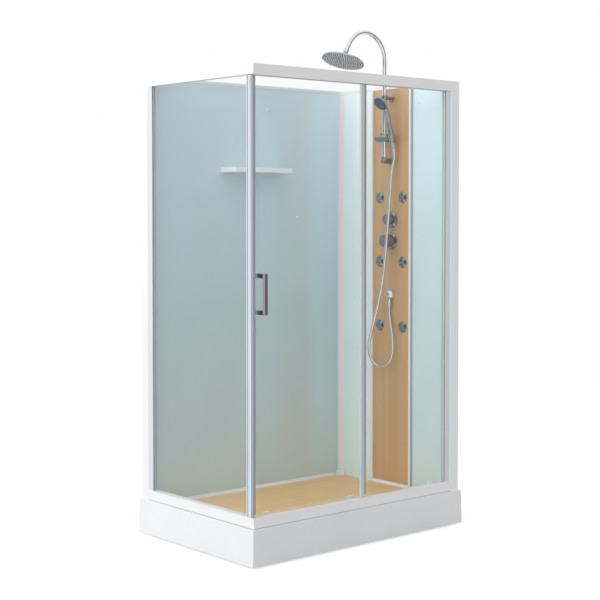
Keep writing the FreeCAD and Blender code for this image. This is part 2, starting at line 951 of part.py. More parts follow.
def make_posts():
    wall = s.post_wall
    base, top = s.tray_top, s.frame_top
    inner_y = frame_y - s.left_post_width
    inner_x = -frame_x + s.left_post_depth
    left = extrusion(
        "post_left", "XY_Plane", base, top,
        [(-frame_x, frame_y), (-frame_x, inner_y), (inner_x, inner_y),
         (inner_x, wall_back_y), (inner_x + s.post_flange, wall_back_y),
         (inner_x + s.post_flange, frame_y)],
        box_points(-frame_x + wall, inner_x - wall, inner_y + wall, frame_y - wall),
    )
    node(left, "post_left")

    inner_x = frame_x - s.right_post_width
    inner_y = -frame_y + s.right_post_depth
    right = extrusion(
        "post_right", "XY_Plane", base, top,
        [(frame_x, -frame_y), (frame_x, inner_y + s.post_flange_depth),
         (wall_back_x, inner_y + s.post_flange_depth), (wall_back_x, inner_y),
         (inner_x, inner_y), (inner_x, -frame_y)],
        box_points(inner_x + wall, frame_x - wall, -frame_y + wall, inner_y - wall),
    )
    node(right, "post_right")

    far_x = wall_back_x + s.back_post_side
    far_y = wall_back_y + s.back_post_side
    flange, thick = s.back_post_flange, s.back_post_flange_wall
    outer = extrusion(
        "corner_post", "XY_Plane", base, top,
        [(wall_back_x, wall_back_y - flange), (wall_back_x + thick, wall_back_y - flange),
         (wall_back_x + thick, wall_back_y), (far_x, wall_back_y), (far_x, far_y),
         (wall_back_x, far_y), (wall_back_x, wall_back_y + thick),
         (wall_back_x - flange, wall_back_y + thick), (wall_back_x - flange, wall_back_y),
         (wall_back_x, wall_back_y)],
        box_points(wall_back_x + thick + wall, far_x - wall,
                   wall_back_y + thick + wall, far_y - wall),
    )
    width, thin = s.corner_trim_width, s.trim_thickness
    trim = extrusion(
        "corner_trim", "XY_Plane", s.ledge_top + s.base_trim_height,
        s.frame_top - s.trim_height,
        [(wall_x - width, wall_y), (wall_x - width, wall_y - thin),
         (wall_x - thin, wall_y - thin), (wall_x - thin, wall_y - width),
         (wall_x, wall_y - width), (wall_x, wall_y)],
    )
    node(group("post_back", outer, trim), "post_back")


def mitre(body, front, low, high):
    """Cuts a rail where the two open sides meet, from the outer corner to the inner one."""
    outer = (-frame_x - s.overrun, -frame_y - s.overrun * s.rail_depth / s.side_rail_depth)
    reach = s.side_rail_depth + s.overrun
    inner = (-frame_x + reach, -frame_y + reach * s.rail_depth / s.side_rail_depth)
    spare = (outer[0], inner[1]) if front else (inner[0], outer[1])
    cut_prism(body, "XY_Plane", low, high, [outer, inner, spare])


def make_front_rails():
    out = -frame_y
    inside = out + s.rail_depth
    glass = out + s.front_glass_setback
    slot = out + s.slot_front
    ledge = out + s.track_inset
    rib = out + s.track_setback
    half_rib = s.track_rib_width / 2
    back = inside - s.chamber_back_wall
    right = frame_x - s.right_post_width
    low, top = top_rail_low, s.frame_top
    groove_top = low + s.glass_groove_depth
    roof = top - s.chamber_roof
    shelf = low + s.ledge_thickness
    section = [
        (out, low), (glass - half_groove, low), (glass - half_groove, groove_top),
        (glass + half_groove, groove_top), (glass + half_groove, low), (slot, low),
        (slot, roof), (back, roof), (back, shelf), (rib + half_rib, shelf),
        (rib + half_rib, shelf + s.track_rib_height), (rib - half_rib, shelf + s.track_rib_height),
        (rib - half_rib, shelf), (ledge, shelf), (ledge, low), (inside, low),
        (inside, top), (out, top),
    ]
    hollow = box_points(out + s.rail_wall, slot - s.rail_wall,
                        groove_top + s.rail_wall, top - s.rail_wall)
    rail = extrusion("top_rail_front", "YZ_Plane", -frame_x, right, section, hollow)
    mitre(rail, True, low, top)
    node(rail, "top_rail_front")

    base, high = s.tray_top, low_rail_top
    groove_low = high - s.glass_groove_low
    track = base + s.low_track_height
    section = [
        (out, base), (inside, base), (inside, track), (rib + half_rib, track),
        (rib + half_rib, track + s.track_rib_height),
        (rib - half_rib, track + s.track_rib_height), (rib - half_rib, track), (slot, track),
        (slot, high), (glass + half_groove, high), (glass + half_groove, groove_low),
        (glass - half_groove, groove_low), (glass - half_groove, high), (out, high),
    ]
    hollow = box_points(out + s.rail_wall, inside - s.rail_wall,
                        base + s.rail_wall, track - s.rail_wall)
    rail = extrusion("bottom_rail_front", "YZ_Plane", -frame_x, right, section, hollow)
    mitre(rail, True, base, high)
    node(rail, "bottom_rail_front")


def make_side_rails():
    out = -frame_x
    inside = out + s.side_rail_depth
    glass = out + s.side_glass_setback
    back = frame_y - s.left_post_width
    low, top = side_rail_low, s.frame_top
    groove_top = top_rail_low + s.glass_groove_depth
    section = [
        (out, low), (glass - half_groove, low), (glass - half_groove, groove_top),
        (glass + half_groove, groove_top), (glass + half_groove, low), (inside, low),
        (inside, top), (out, top),
    ]
    hollow = box_points(out + s.rail_wall, inside - s.rail_wall,
                        groove_top + s.rail_wall, top - s.rail_wall)
    rail = extrusion("top_rail_side", "XZ_Plane", -frame_y, back, section, hollow)
    mitre(rail, False, low, top)
    node(rail, "top_rail_side")

    base, high = s.tray_top, low_rail_top
    groove_low = high - s.glass_groove_low
    section = [
        (out, base), (inside, base), (inside, high), (glass + half_groove, high),
        (glass + half_groove, groove_low), (glass - half_groove, groove_low),
        (glass - half_groove, high), (out, high),
    ]
    hollow = box_points(out + s.rail_wall, inside - s.rail_wall,
                        base + s.rail_wall, groove_low - s.rail_wall)
    rail = extrusion("bottom_rail_side", "XZ_Plane", -frame_y, back, section, hollow)
    mitre(rail, False, base, high)
    node(rail, "bottom_rail_side")


# Walls of the cabin

column_half = s.column_visible_width / 2
cap_left = s.column_y + column_half
cap_right = s.column_y - column_half
web_left = cap_left + (s.joint_cap_width - s.joint_web) / 2
web_right = cap_right - (s.joint_cap_width - s.joint_web) / 2
panel_low = s.ledge_top + s.base_trim_web
panel_high = s.frame_top - s.trim_web
channel_half = s.channel_width / 2
wall_left_end = -frame_x + s.side_rail_depth + s.joint_gap
wall_front_end = -frame_y + s.rail_depth + s.joint_gap
fixed_glass_y = -frame_y + s.front_glass_setback
side_glass_x = -frame_x + s.side_glass_setback


def make_walls():
    wall = block("back_wall_glass", wall_left_end, wall_x, wall_y, wall_back_y, panel_low, panel_high)
    node(wall, "back_wall_glass")
    rear = block("right_glass_rear", wall_x, wall_back_x, web_left + s.joint_web, wall_back_y,
                 panel_low, panel_high)
    node(rear, "right_glass_rear")
    front = block("right_glass_front", wall_x, wall_back_x, wall_front_end, web_right - s.joint_web,
                  panel_low, panel_high)
    node(front, "right_glass_front")

    column = extrusion("column_panel", "YZ_Plane", wall_x, wall_back_x,
                       box_points(web_right, web_left, panel_low, panel_high))
    flange_low = s.tray_top
    flange_high = s.frame_top - s.trim_height
    sketch = new_sketch(column, "XY_Plane", flange_low)
    deep = wall_back_x + s.column_flange_depth
    rectangle(sketch, wall_back_x, deep, web_right, web_right + s.column_flange_wall)
    rectangle(sketch, wall_back_x, deep, web_left - s.column_flange_wall, web_left)
    pad(column, sketch, flange_high - flange_low)
    holes = [(y, z, s.jet_tail_radius + s.joint_gap) for y, z in jet_places()]
    holes.append((s.column_y, s.mixer_z, s.spindle_hole))
    holes.append((s.column_y, s.diverter_z, s.spindle_hole))
    holes.append((s.column_y, s.outlet_z, s.outlet_tail_radius + s.joint_gap))
    holes.append((s.column_y, low_bracket_z, s.outlet_tail_radius + s.joint_gap))
    cut_circles(column, "YZ_Plane", wall_x, wall_back_x, *holes)
    node(column, "column_panel")


def make_wall_trims():
    thin = s.trim_thickness
    top, low = s.frame_top, s.ledge_top
    trims = []
    for plane, wall, back, start, end in (
        ("YZ_Plane", wall_y, wall_back_y, wall_left_end, wall_x - thin),
        ("XZ_Plane", wall_x, wall_back_x, wall_front_end, wall_y),
    ):
        high = [(wall - thin, top), (wall - thin, top - s.trim_height),
                (wall, top - s.trim_height), (wall, panel_high), (back, panel_high),
                (back, top)]
        base = [(wall - thin, low), (back, low), (back, panel_low), (wall, panel_low),
                (wall, low + s.base_trim_height), (wall - thin, low + s.base_trim_height)]
        trims.append(extrusion("top_trim", plane, start, end, high))
        trims.append(extrusion("base_trim", plane, start, end, base))
    node(group("wall_trims", *trims), "wall_trims")


def make_column_joints():
    """Two upright strips: a proud cap, a web between the panels and a tail behind the glass."""
    low = s.ledge_top + s.base_trim_height
    high = s.frame_top - s.trim_height
    face = wall_x - s.joint_cap_height
    tail = wall_back_x + s.joint_gap
    deep = wall_back_x + s.joint_web_depth
    strips = []
    for side, cap, web in ((1, cap_left, web_left), (-1, cap_right, web_right)):
        far_cap = cap + side * s.joint_cap_width
        far_web = web + side * s.joint_web
        points = [
            (face, cap), (face, far_cap), (wall_x, far_cap), (wall_x, far_web),
            (tail, far_web), (tail, far_web + side * s.joint_tail),
            (tail + s.joint_tail_thickness, far_web + side * s.joint_tail),
            (tail + s.joint_tail_thickness, far_web), (deep, far_web), (deep, web),
            (wall_x, web), (wall_x, cap),
        ]
        strips.append(extrusion("joint_strip", "XY_Plane", low, high, points))
    node(group("column_joint_strips", *strips), "column_joint_strips")


def make_wall_channels():
    """Upright U-channels that hold the side glass and the fixed front glass at their posts."""
    base, top = low_rail_top, side_rail_low
    wall, grip = s.channel_wall, s.channel_grip
    post = frame_y - s.left_post_width
    mouth = post - s.left_channel_length
    x0, x1 = side_glass_x - channel_half, side_glass_x + channel_half
    left = extrusion("left_channel", "XY_Plane", base, top, [
        (x0, post), (x0, mouth), (side_glass_x - half_groove, mouth),
        (side_glass_x - half_groove, mouth + grip + wall),
        (side_glass_x + half_groove, mouth + grip + wall),
        (side_glass_x + half_groove, mouth), (x1, mouth), (x1, post),
    ])
    top = top_rail_low
    post = frame_x - s.right_post_width
    mouth = post - s.channel_length
    y0, y1 = fixed_glass_y - channel_half, fixed_glass_y + channel_half
    right = extrusion("right_channel", "XY_Plane", base, top, [
        (post, y0), (post, y1), (mouth, y1), (mouth, fixed_glass_y + half_groove),
        (mouth + grip + wall, fixed_glass_y + half_groove),
        (mouth + grip + wall, fixed_glass_y - half_groove),
        (mouth, fixed_glass_y - half_groove), (mouth, y0),
    ])
    node(group("wall_channels", left, right), "wall_channels")


def make_side_glass():
    nose = -frame_y + s.edge_front_gap
    tail = nose + s.edge_profile_width
    half = s.edge_profile_thickness / 2
    x0, x1 = side_glass_x - half, side_glass_x + half
    groove = tail - s.edge_groove_depth
    low, high = low_rail_top, top_rail_low
    radius = s.edge_nose_radius
    body = new_body("side_edge_profile")
    sketch = new_sketch(body, "XY_Plane", low + s.edge_top_gap)
    outline(sketch, [
        (x1 - radius, nose),
        (x1, nose + radius, x1 - radius, nose + radius, 1),
        (x1, tail),
        (side_glass_x + half_groove, tail),
        (side_glass_x + half_groove, groove),
        (side_glass_x - half_groove, groove),
        (side_glass_x - half_groove, tail),
        (x0, tail),
        (x0, nose + radius),
        (x0 + radius, nose, x0 + radius, nose + radius, 1),
    ])
    pad(body, sketch, high - low - 2 * s.edge_top_gap)
    node(body, "side_edge_profile")

    end = frame_y - s.left_post_width - s.left_channel_length + s.channel_grip
    glass = block(
        "side_glass", side_glass_x - half_glass, side_glass_x + half_glass,
        groove + s.joint_gap, end,
        low - s.glass_groove_low + s.joint_gap, top_rail_low + s.glass_groove_depth - s.joint_gap)
    node(glass, "side_glass")

    door_y = -frame_y + s.door_setback
    seal = block("side_magnet_seal", x1, x1 + s.seal_thickness,
                 door_y - s.seal_width / 2, door_y + s.seal_width / 2,
                 low + s.edge_top_gap, high - s.edge_top_gap)
    node(seal, "side_magnet_seal")
    return x1 + s.seal_thickness


def make_fixed_glass():
    left = s.fixed_edge_left
    right = left + s.fixed_edge_width
    half = s.edge_profile_thickness / 2
    y0, y1 = fixed_glass_y - half, fixed_glass_y + half
    groove = right - s.edge_groove_depth
    low, high = low_rail_top, top_rail_low
    radius = s.edge_nose_radius
    body = new_body("fixed_edge_profile")
    sketch = new_sketch(body, "XY_Plane", low + s.edge_top_gap)
    outline(sketch, [
        (right, y0),
        (right, fixed_glass_y - half_groove),
        (groove, fixed_glass_y - half_groove),
        (groove, fixed_glass_y + half_groove),
        (right, fixed_glass_y + half_groove),
        (right, y1),
        (left + radius, y1),
        (left, y1 - radius, left + radius, y1 - radius, 1),
        (left, y0 + radius),
        (left + radius, y0, left + radius, y0 + radius, 1),
    ])
    pad(body, sketch, high - low - 2 * s.edge_top_gap)
    node(body, "fixed_edge_profile")

    end = frame_x - s.right_post_width - s.channel_length + s.channel_grip
    glass = block(
        "fixed_glass", groove + s.joint_gap, end,
        fixed_glass_y - half_glass, fixed_glass_y + half_glass,
        low - s.glass_groove_low + s.joint_gap, high + s.glass_groove_depth - s.joint_gap)
    node(glass, "fixed_glass")


# The sliding door


def make_door(seal_face):
    door_y = -frame_y + s.door_setback
    low = low_rail_top + s.door_bottom_gap
    high = top_rail_low + s.door_top_rise
    seal_start = seal_face + s.joint_gap
    lead = seal_start + s.seal_thickness
    trail = s.door_trail_end
    half = s.edge_profile_thickness / 2
    seal = block("door_magnet_seal", seal_start, lead,
                 door_y - s.seal_width / 2, door_y + s.seal_width / 2,
                 low, top_rail_low - s.edge_top_gap)
    node(seal, "door_magnet_seal")

    grip = s.door_profile_grip
    gap = s.groove_clearance / 2
    glass = block("door_glass", lead + s.door_profile_width - grip + gap,
                  trail - s.door_trail_width + grip - gap,
                  door_y - half_glass, door_y + half_glass, low, high)
    node(glass, "door_glass")
    profiles = []
    for edge, side, width in ((lead, 1, s.door_profile_width), (trail, -1, s.door_trail_width)):
        mouth = edge + side * width
        floor = mouth - side * grip
        profiles.append(extrusion(
            "door_profile", "XY_Plane", low, top_rail_low - s.edge_top_gap, [
                (edge, door_y - half), (mouth, door_y - half),
                (mouth, door_y - half_glass - gap), (floor, door_y - half_glass - gap),
                (floor, door_y + half_glass + gap), (mouth, door_y + half_glass + gap),
                (mouth, door_y + half), (edge, door_y + half),
            ]))
    node(group("door_edge_profiles", *profiles), "door_edge_profiles")
    return door_y, low, high, lead, trail


def make_handle(door_y, lead):
    middle = lead + s.handle_inset
    face = door_y - half_glass
    half = s.handle_width / 2
    front = face - s.handle_reach
    back = front + s.handle_depth
    arm = s.handle_arm_height
    bow = extrusion("handle_bow", "YZ_Plane", middle - half, middle + half, [
        (face, s.handle_low), (front, s.handle_low), (front, s.handle_high),
        (face, s.handle_high), (face, s.handle_high - arm), (back, s.handle_high - arm),
        (back, s.handle_low + arm), (face, s.handle_low + arm),
    ])
    doc.recompute()
    edges = [f"Edge{i}" for i, edge in enumerate(bow.Shape.Edges, start=1)
             if abs(edge.BoundBox.YMax - front.value) < s.joint_gap.value]
    solid = bow.Tip
    fillet = bow.newObject("PartDesign::Fillet", "handle_round")
    fillet.Base = (solid, edges)
    bind(fillet, "Radius", s.handle_corner_radius)
    pieces = [bow]
    inside = door_y + half_glass
    for z in (s.handle_low + arm / 2, s.handle_high - arm / 2):
        cap = cylinder("handle_cap", s.handle_cap_radius, s.handle_cap_thickness,
                       middle, inside, z, "y")
        pieces.append(cap)
    node(group("door_handle", *pieces), "door_handle")


def wheel(label, x, y, z):
    """A roller with a groove that runs on the rib of the rail; it turns about the Y axis."""
    half = s.wheel_width / 2
    groove = s.wheel_groove_width / 2
    floor = s.wheel_radius - s.wheel_groove_depth
    bore = s.axle_radius + s.bore_clearance
    body = turned(label, [
        (bore, -half), (s.wheel_radius - s.wheel_gap, -half), (s.wheel_radius, -groove),
        (floor, -groove), (floor, groove), (s.wheel_radius, groove),
        (s.wheel_radius - s.wheel_gap, half), (bore, half),
    ])
    turn = FreeCAD.Rotation(FreeCAD.Vector(1, 0, 0), -90)
    body.Placement = FreeCAD.Placement(FreeCAD.Vector(), turn)
    return node(place(body, x, y, z), label)


def make_rollers(door_y, low, high, lead, trail):
    inner = door_y + half_glass
    plate_back = inner + s.carrier_thickness
    wheel_y = -frame_y + s.track_setback
    half_wheel = s.wheel_width / 2
    floor = s.wheel_radius - s.wheel_groove_depth
    ribs = {
        "top": top_rail_low + s.ledge_thickness + s.track_rib_height,
        "bottom": s.tray_top + s.low_track_height + s.track_rib_height,
    }
    lead_x = lead + s.roller_lead_inset
    trail_x = trail - s.roller_trail_inset
    carriers = []
    for level, rib in ribs.items():
        z = rib + floor + s.joint_gap
        for place_name, x in (("lead", lead_x), ("trail", trail_x)):
            x0, x1 = x - s.carrier_width / 2, x + s.carrier_width / 2
            if level == "top":
                z0, z1 = high - s.carrier_overlap, z + s.carrier_tail
            else:
                z0, z1 = z - s.carrier_tail, low + s.carrier_overlap
            plate = block("carrier_plate", x0, x1, inner, plate_back, z0, z1)
            axle_end = wheel_y + half_wheel + s.joint_gap
            axle = cylinder("carrier_axle", s.axle_radius, axle_end - plate_back,
                            x, plate_back, z, "y")
            head = cylinder("axle_head", s.axle_head_radius, s.axle_head_thickness,
                            x, axle_end, z, "y")
            carriers.append(fuse("roller_carrier", plate, axle, head))
            wheel(f"{level}_roller_{place_name}", x, wheel_y, z)
    node(group("roller_carriers", *carriers), "roller_carriers")

    # Rubber stops in both tracks, where the trailing wheels arrive when the door is open
    back = -frame_y + s.rail_depth - s.chamber_back_wall
    ledge = -frame_y + s.track_inset
    x0 = frame_x - s.right_post_width - s.stop_inset - s.stop_length
    stops = []
    for rib in ribs.values():
        stops.append(block("door_stop", x0, x0 + s.stop_length, ledge + s.joint_gap,
                           back - s.joint_gap, rib, rib + 2 * floor))
    node(group("door_stops", *stops), "door_stops")


# Riser, rain head and hand shower

riser_x = wall_x - s.riser_standoff
bend_start = s.frame_top + s.bend_rise
low_bracket_z = s.diverter_z + s.low_bracket_rise
riser_bottom = low_bracket_z + s.riser_foot
slider_z = low_bracket_z + s.slider_rise


def make_riser():
    body = new_body("riser_tube")
    path = new_sketch(body, "XZ_Plane")
    straight = bend_start - riser_bottom
    turn = math.radians(s.bend_turn.value)
    radius, length = s.bend_radius.value, s.tail_length.value
    start = FreeCAD.Vector(0, straight.value, 0)
    centre = start - FreeCAD.Vector(radius, 0, 0)
    end = centre + FreeCAD.Vector(radius * math.cos(turn), radius * math.sin(turn), 0)
    heading = FreeCAD.Vector(-math.sin(turn), math.cos(turn), 0)
    arc = Part.ArcOfCircle(Part.Circle(centre, FreeCAD.Vector(0, 0, 1), radius), 0, turn)
    path.addGeometry(Part.LineSegment(FreeCAD.Vector(), start), False)
    path.addGeometry(arc, False)
    path.addGeometry(Part.LineSegment(end, end + heading * length), False)
    fix_point(path, 0, 1, zero, zero)
    fix_point(path, 0, 2, zero, straight)
    path.addConstraint(Sketcher.Constraint("Tangent", 0, 2, 1, 1))
    path.addConstraint(Sketcher.Constraint("Tangent", 1, 2, 2, 1))
    row = path.addConstraint(Sketcher.Constraint("Radius", 1, radius))
    path.setExpression(f"Constraints[{row}]", s.bend_radius.formula)
    row = path.addConstraint(Sketcher.Constraint("Distance", 2, length))
    path.setExpression(f"Constraints[{row}]", s.tail_length.formula)
    across = s.bend_radius * (cosine(s.bend_turn) - 1)
    row = path.addConstraint(Sketcher.Constraint("DistanceX", -1, 1, 2, 1, across.value))
    path.setExpression(f"Constraints[{row}]", across.formula)
    ring = new_sketch(body, "XY_Plane")
    circle(ring, zero, zero, s.riser_radius)
    circle(ring, zero, zero, s.riser_radius - s.riser_wall)
    pipe = body.newObject("PartDesign::AdditivePipe", "riser_sweep")
    pipe.Profile = ring
    pipe.Spine = path
    place(body, riser_x, s.column_y, riser_bottom)

    # Ball fitting screwed on the free end; its own Z runs back along the pipe
    sleeve = s.ball_neck_length + s.nut_disc
    outer = s.riser_radius + s.nut_wall
    bore = s.riser_radius + s.bore_clearance
    meet = s.ball_radius * cosine(as_size(30))
    fitting = turned("ball_fitting", [
        (zero, -s.ball_radius),
        (s.ball_radius / 2, meet, zero, zero, 1),
        (s.ball_neck_radius, s.ball_neck_length),
        (outer, s.ball_neck_length),
        (outer, sleeve + s.nut_sleeve),
        (bore, sleeve + s.nut_sleeve),
        (bore, sleeve),
        (zero, sleeve),
    ])
    back_turn = FreeCAD.Rotation(FreeCAD.Vector(0, 1, 0), 180 - s.bend_turn.value)
    fitting.Placement = FreeCAD.Placement(FreeCAD.Vector(), back_turn)
    fitting.setExpression("Placement.Rotation.Angle",
                          f"180 deg - {s.bend_turn.formula} * 1 deg")
    reach = s.tail_length + sleeve
    ball_x = riser_x + s.bend_radius * (cosine(s.bend_turn) - 1) - reach * sine(s.bend_turn)
    ball_z = bend_start + s.bend_radius * sine(s.bend_turn) + reach * cosine(s.bend_turn)
    place(fitting, ball_x, s.column_y, ball_z)
    node(group("riser_pipe", body, fitting), "riser_pipe")
    return ball_x, ball_z


def make_rain_head(ball_x, ball_z):
    """Head and spray plate share one origin, the middle of the ball joint."""
    radius = s.head_radius
    face = -s.head_ball_height
    edge = face + s.head_edge
    dome = face + s.head_dome
    seat = s.ball_radius + s.ball_clearance
    socket = s.head_socket_radius
    rise = s.head_socket_rise
    mouth = Size(math.sqrt(seat.value ** 2 - rise.value ** 2),
                 f"sqrt(pow({seat.formula}; 2) - pow({rise.formula}; 2))")
    shell = s.head_shell
    plate = s.head_plate_thickness
    plate_radius = radius - s.head_plate_margin
    body = turned("rain_head", [
        (radius, face),
        (radius, edge),
        (socket, dome),
        (socket, rise),
        (mouth, rise),
        (zero, -seat, zero, zero, -1),
        (zero, dome - shell),
        (plate_radius - s.head_plate_margin, edge - shell),
        (plate_radius - s.head_plate_margin, face + plate),
        (plate_radius + s.joint_gap, face + plate),
        (plate_radius + s.joint_gap, face),
    ])
    spray = turned("rain_head_face", [
        (zero, face), (plate_radius, face), (plate_radius, face + plate), (zero, face + plate),
    ])
    tilt = FreeCAD.Rotation(FreeCAD.Vector(0, 1, 0), s.head_tilt.value)
    roll = FreeCAD.Rotation(FreeCAD.Vector(1, 0, 0), -s.head_roll.value)
    for item in (body, spray):
        item.Placement = FreeCAD.Placement(FreeCAD.Vector(), roll.multiply(tilt))
        place(item, ball_x, s.column_y, ball_z)
    node(body, "rain_head")
    node(spray, "rain_head_face")


def make_riser_brackets():
    low = low_bracket_z
    reach = s.riser_standoff + s.low_bracket_radius
    flange = s.bracket_flange_thickness
    arm = cylinder("elbow_arm", s.low_bracket_radius, reach,
                   wall_x - reach, s.column_y, low, "x")
    socket = cylinder("elbow_socket", s.socket_radius, s.socket_height,
                      riser_x, s.column_y, low)
    plate = cylinder("elbow_flange", s.bracket_flange_radius, flange,
                     wall_x - flange, s.column_y, low, "x")
    tail = cylinder("elbow_tail", s.outlet_tail_radius, s.wall_thickness + s.bracket_tail,
                    wall_x, s.column_y, low, "x")
    seat = cylinder("elbow_seat", s.riser_radius + s.bore_clearance,
                    low_bracket_z + s.socket_height - riser_bottom + s.overrun,
                    riser_x, s.column_y, riser_bottom)
    elbow = cut("elbow", fuse("elbow_solid", arm, socket, plate, tail), seat)

    high = bend_start - s.top_bracket_drop
    ring = cylinder("clamp_ring", s.ring_radius, s.ring_height,
                    riser_x, s.column_y, high - s.ring_height / 2)
    arm = cylinder("clamp_arm", s.bracket_arm_radius, s.riser_standoff,
                   riser_x, s.column_y, high, "x")
    plate = cylinder("clamp_flange", s.bracket_flange_radius, flange,
                     wall_x - flange, s.column_y, high, "x")
    bore = cylinder("clamp_bore", s.riser_radius + s.bore_clearance,
                    s.ring_height + 2 * s.overrun,
                    riser_x, s.column_y, high - s.ring_height / 2 - s.overrun)
    clamp = cut("clamp", fuse("clamp_solid", ring, arm, plate), bore)
    node(group("riser_brackets", elbow, clamp), "riser_brackets")


def make_slider():
    y0 = s.column_y - s.barrel_right
    y1 = s.column_y + s.barrel_left
    barrel = cylinder("slider_barrel", s.barrel_radius, y1 - y0, riser_x, y0, slider_z, "y")
    bore = cylinder("slider_bore", s.riser_radius + s.bore_clearance,
                    2 * (s.barrel_radius + s.overrun),
                    riser_x, s.column_y, slider_z - s.barrel_radius - s.overrun)
    sleeve = cut("slider_sleeve", barrel, bore)
    knob = turned("slider_knob", [
        (zero, zero), (s.knob_radius, zero), (s.knob_radius, s.knob_length - s.button_radius),
        (s.knob_radius - s.button_radius, s.knob_length), (zero, s.knob_length),
    ])
    turn = FreeCAD.Rotation(FreeCAD.Vector(1, 0, 0), -90)
    knob.Placement = FreeCAD.Placement(FreeCAD.Vector(), turn)
    place(knob, riser_x, y1, slider_z)
    button = cylinder("slider_button", s.button_radius, s.barrel_radius + s.button_height,
                      riser_x, s.column_y + s.button_offset, slider_z)
    body = fuse("slider_body", sleeve, button)
    node(group("slider", body, knob), "slider")
    return y0


def lean(item, angle, x, y, z):
    """Leans a piece made upright towards -X by the given angle."""
    turn = FreeCAD.Rotation(FreeCAD.Vector(0, 1, 0), -angle.value)
    item.Placement = FreeCAD.Placement(FreeCAD.Vector(), turn)
    item.setExpression("Placement.Rotation.Angle", f"(0 - {angle.formula}) * 1 deg")
    # A negative angle is stored as a positive one about the opposite axis
    if item.Placement.Rotation.Axis.y < 0:
        item.setExpression("Placement.Rotation.Angle", f"{angle.formula} * 1 deg")
    return place(item, x, y, z)


def make_holder(barrel_end):
    x = riser_x + s.holder_offset_x
    y = s.column_y - s.holder_offset_y
    half = s.holder_height / 2
    ring = turned("holder_ring", [
        (s.holder_cone_low, -half), (s.holder_radius_low, -half), (s.holder_radius_top, half),
        (s.holder_cone_top, half),
    ])
    sketch = new_sketch(ring, "XY_Plane", -half)
    rectangle(sketch, -s.holder_radius_top - s.overrun, zero, -s.holder_slot / 2, s.holder_slot / 2)
    pocket(ring, sketch, s.holder_height)
    lean(ring, s.handset_lean, x, y, slider_z)
    boss_end = barrel_end - s.joint_gap
    boss = cylinder("holder_boss", s.holder_boss_radius, s.holder_boss_length,
                    riser_x, boss_end - s.holder_boss_length, slider_z, "y")
    clearance = cone("holder_clearance", s.holder_cone_low, s.holder_cone_top, s.holder_height)
    lean(clearance, s.handset_lean, x + half * sine(s.handset_lean), y,
         slider_z - half * cosine(s.handset_lean))
    boss_cut = cut("holder_boss_cut", boss, clearance)
    node(fuse("handset_holder", ring, boss_cut), "handset_holder")
    return x, y


def cone(name, low, top, length):
    item = doc.addObject("Part::Cone", name)
    bind(item, "Radius1", low)
    bind(item, "Radius2", top)
    bind(item, "Height", length)
    return item


def make_hand_shower(x, y):
    half = s.holder_height / 2
    gap = s.cone_clearance
    slope = (s.holder_cone_top - s.holder_cone_low) / s.holder_height
    tip = s.holder_cone_low - gap - slope * (s.handle_bottom - half)
    handle = turned("handset_handle", [
        (zero, -s.handle_bottom), (tip, -s.handle_bottom), (s.holder_cone_top - gap, half),
        (s.handle_waist_radius, s.handle_waist_height), (s.handle_neck_radius, s.handle_top),
        (zero, s.handle_top),
    ])
    head = turned("handset_head", [
        (zero, s.spray_plate_depth), (s.spray_plate_radius + s.joint_gap, s.spray_plate_depth),
        (s.spray_plate_radius + s.joint_gap, zero), (s.spray_radius, zero),
        (s.spray_radius, s.spray_rim), (s.spray_back_radius, s.spray_depth),
        (zero, s.spray_depth),
    ])
    plate = turned("handset_plate", [
        (zero, zero), (s.spray_plate_radius, zero), (s.spray_plate_radius, s.spray_plate_depth),
        (zero, s.spray_plate_depth),
    ])
    spray_lean = s.spray_tilt
    for item in (head, plate):
        turn = FreeCAD.Rotation(FreeCAD.Vector(0, 1, 0), spray_lean.value)
        item.Placement = FreeCAD.Placement(FreeCAD.Vector(), turn)
        item.setExpression("Placement.Rotation.Angle", f"{spray_lean.formula} * 1 deg")
        place(item, -s.spray_face_forward, zero, s.spray_face_up)
    nut = cylinder("hose_nut", s.hose_nut_radius, s.hose_nut_length,
                   zero, zero, -s.handle_bottom - s.hose_nut_length)
    neck = turned("handset_neck", [
        (zero, -s.neck_low_radius), (s.neck_low_radius, zero, zero, zero, 1),
        (s.neck_top_radius, s.neck_length), (zero, s.neck_length + s.neck_top_radius, zero, s.neck_length, 1),
    ])
    turn = FreeCAD.Rotation(FreeCAD.Vector(0, -1, 0), s.neck_lean.value)
    neck.Placement = FreeCAD.Placement(FreeCAD.Vector(), turn)
    neck.setExpression("Placement.Rotation.Angle", f"{s.neck_lean.formula} * 1 deg")
    place(neck, zero, zero, s.neck_start)
    shell = fuse("handset_shell", handle, neck, head)
    item = group("hand_shower", shell, plate, nut)
    node(lean(item, s.handset_lean, x, y, slider_z), "hand_shower")


# Wall outlet, valves and jets


def make_outlet():
    plate = turned("outlet_dome", [
        (zero, zero), (s.outlet_radius, zero), (s.outlet_radius, s.outlet_rim),
        (zero, s.outlet_rim + s.outlet_radius, zero, s.outlet_rim, 1),
    ])
    facing_wall(plate, wall_x, s.column_y, s.outlet_z)
    spigot_x = wall_x - s.spigot_standoff
    spigot = cylinder("outlet_spigot", s.spigot_radius, s.spigot_drop,
                      spigot_x, s.column_y, s.outlet_z - s.spigot_drop)
    tail = cylinder("outlet_tail", s.outlet_tail_radius, s.wall_thickness + s.outlet_tail,
                    wall_x, s.column_y, s.outlet_z, "x")
    body = fuse("outlet_body", plate, spigot, tail)
    nut = cylinder("outlet_nut", s.outlet_nut_radius, s.outlet_nut_length,
                   spigot_x, s.column_y, s.outlet_z - s.spigot_drop - s.outlet_nut_length)
    node(group("outlet_elbow", body, nut), "outlet_elbow")


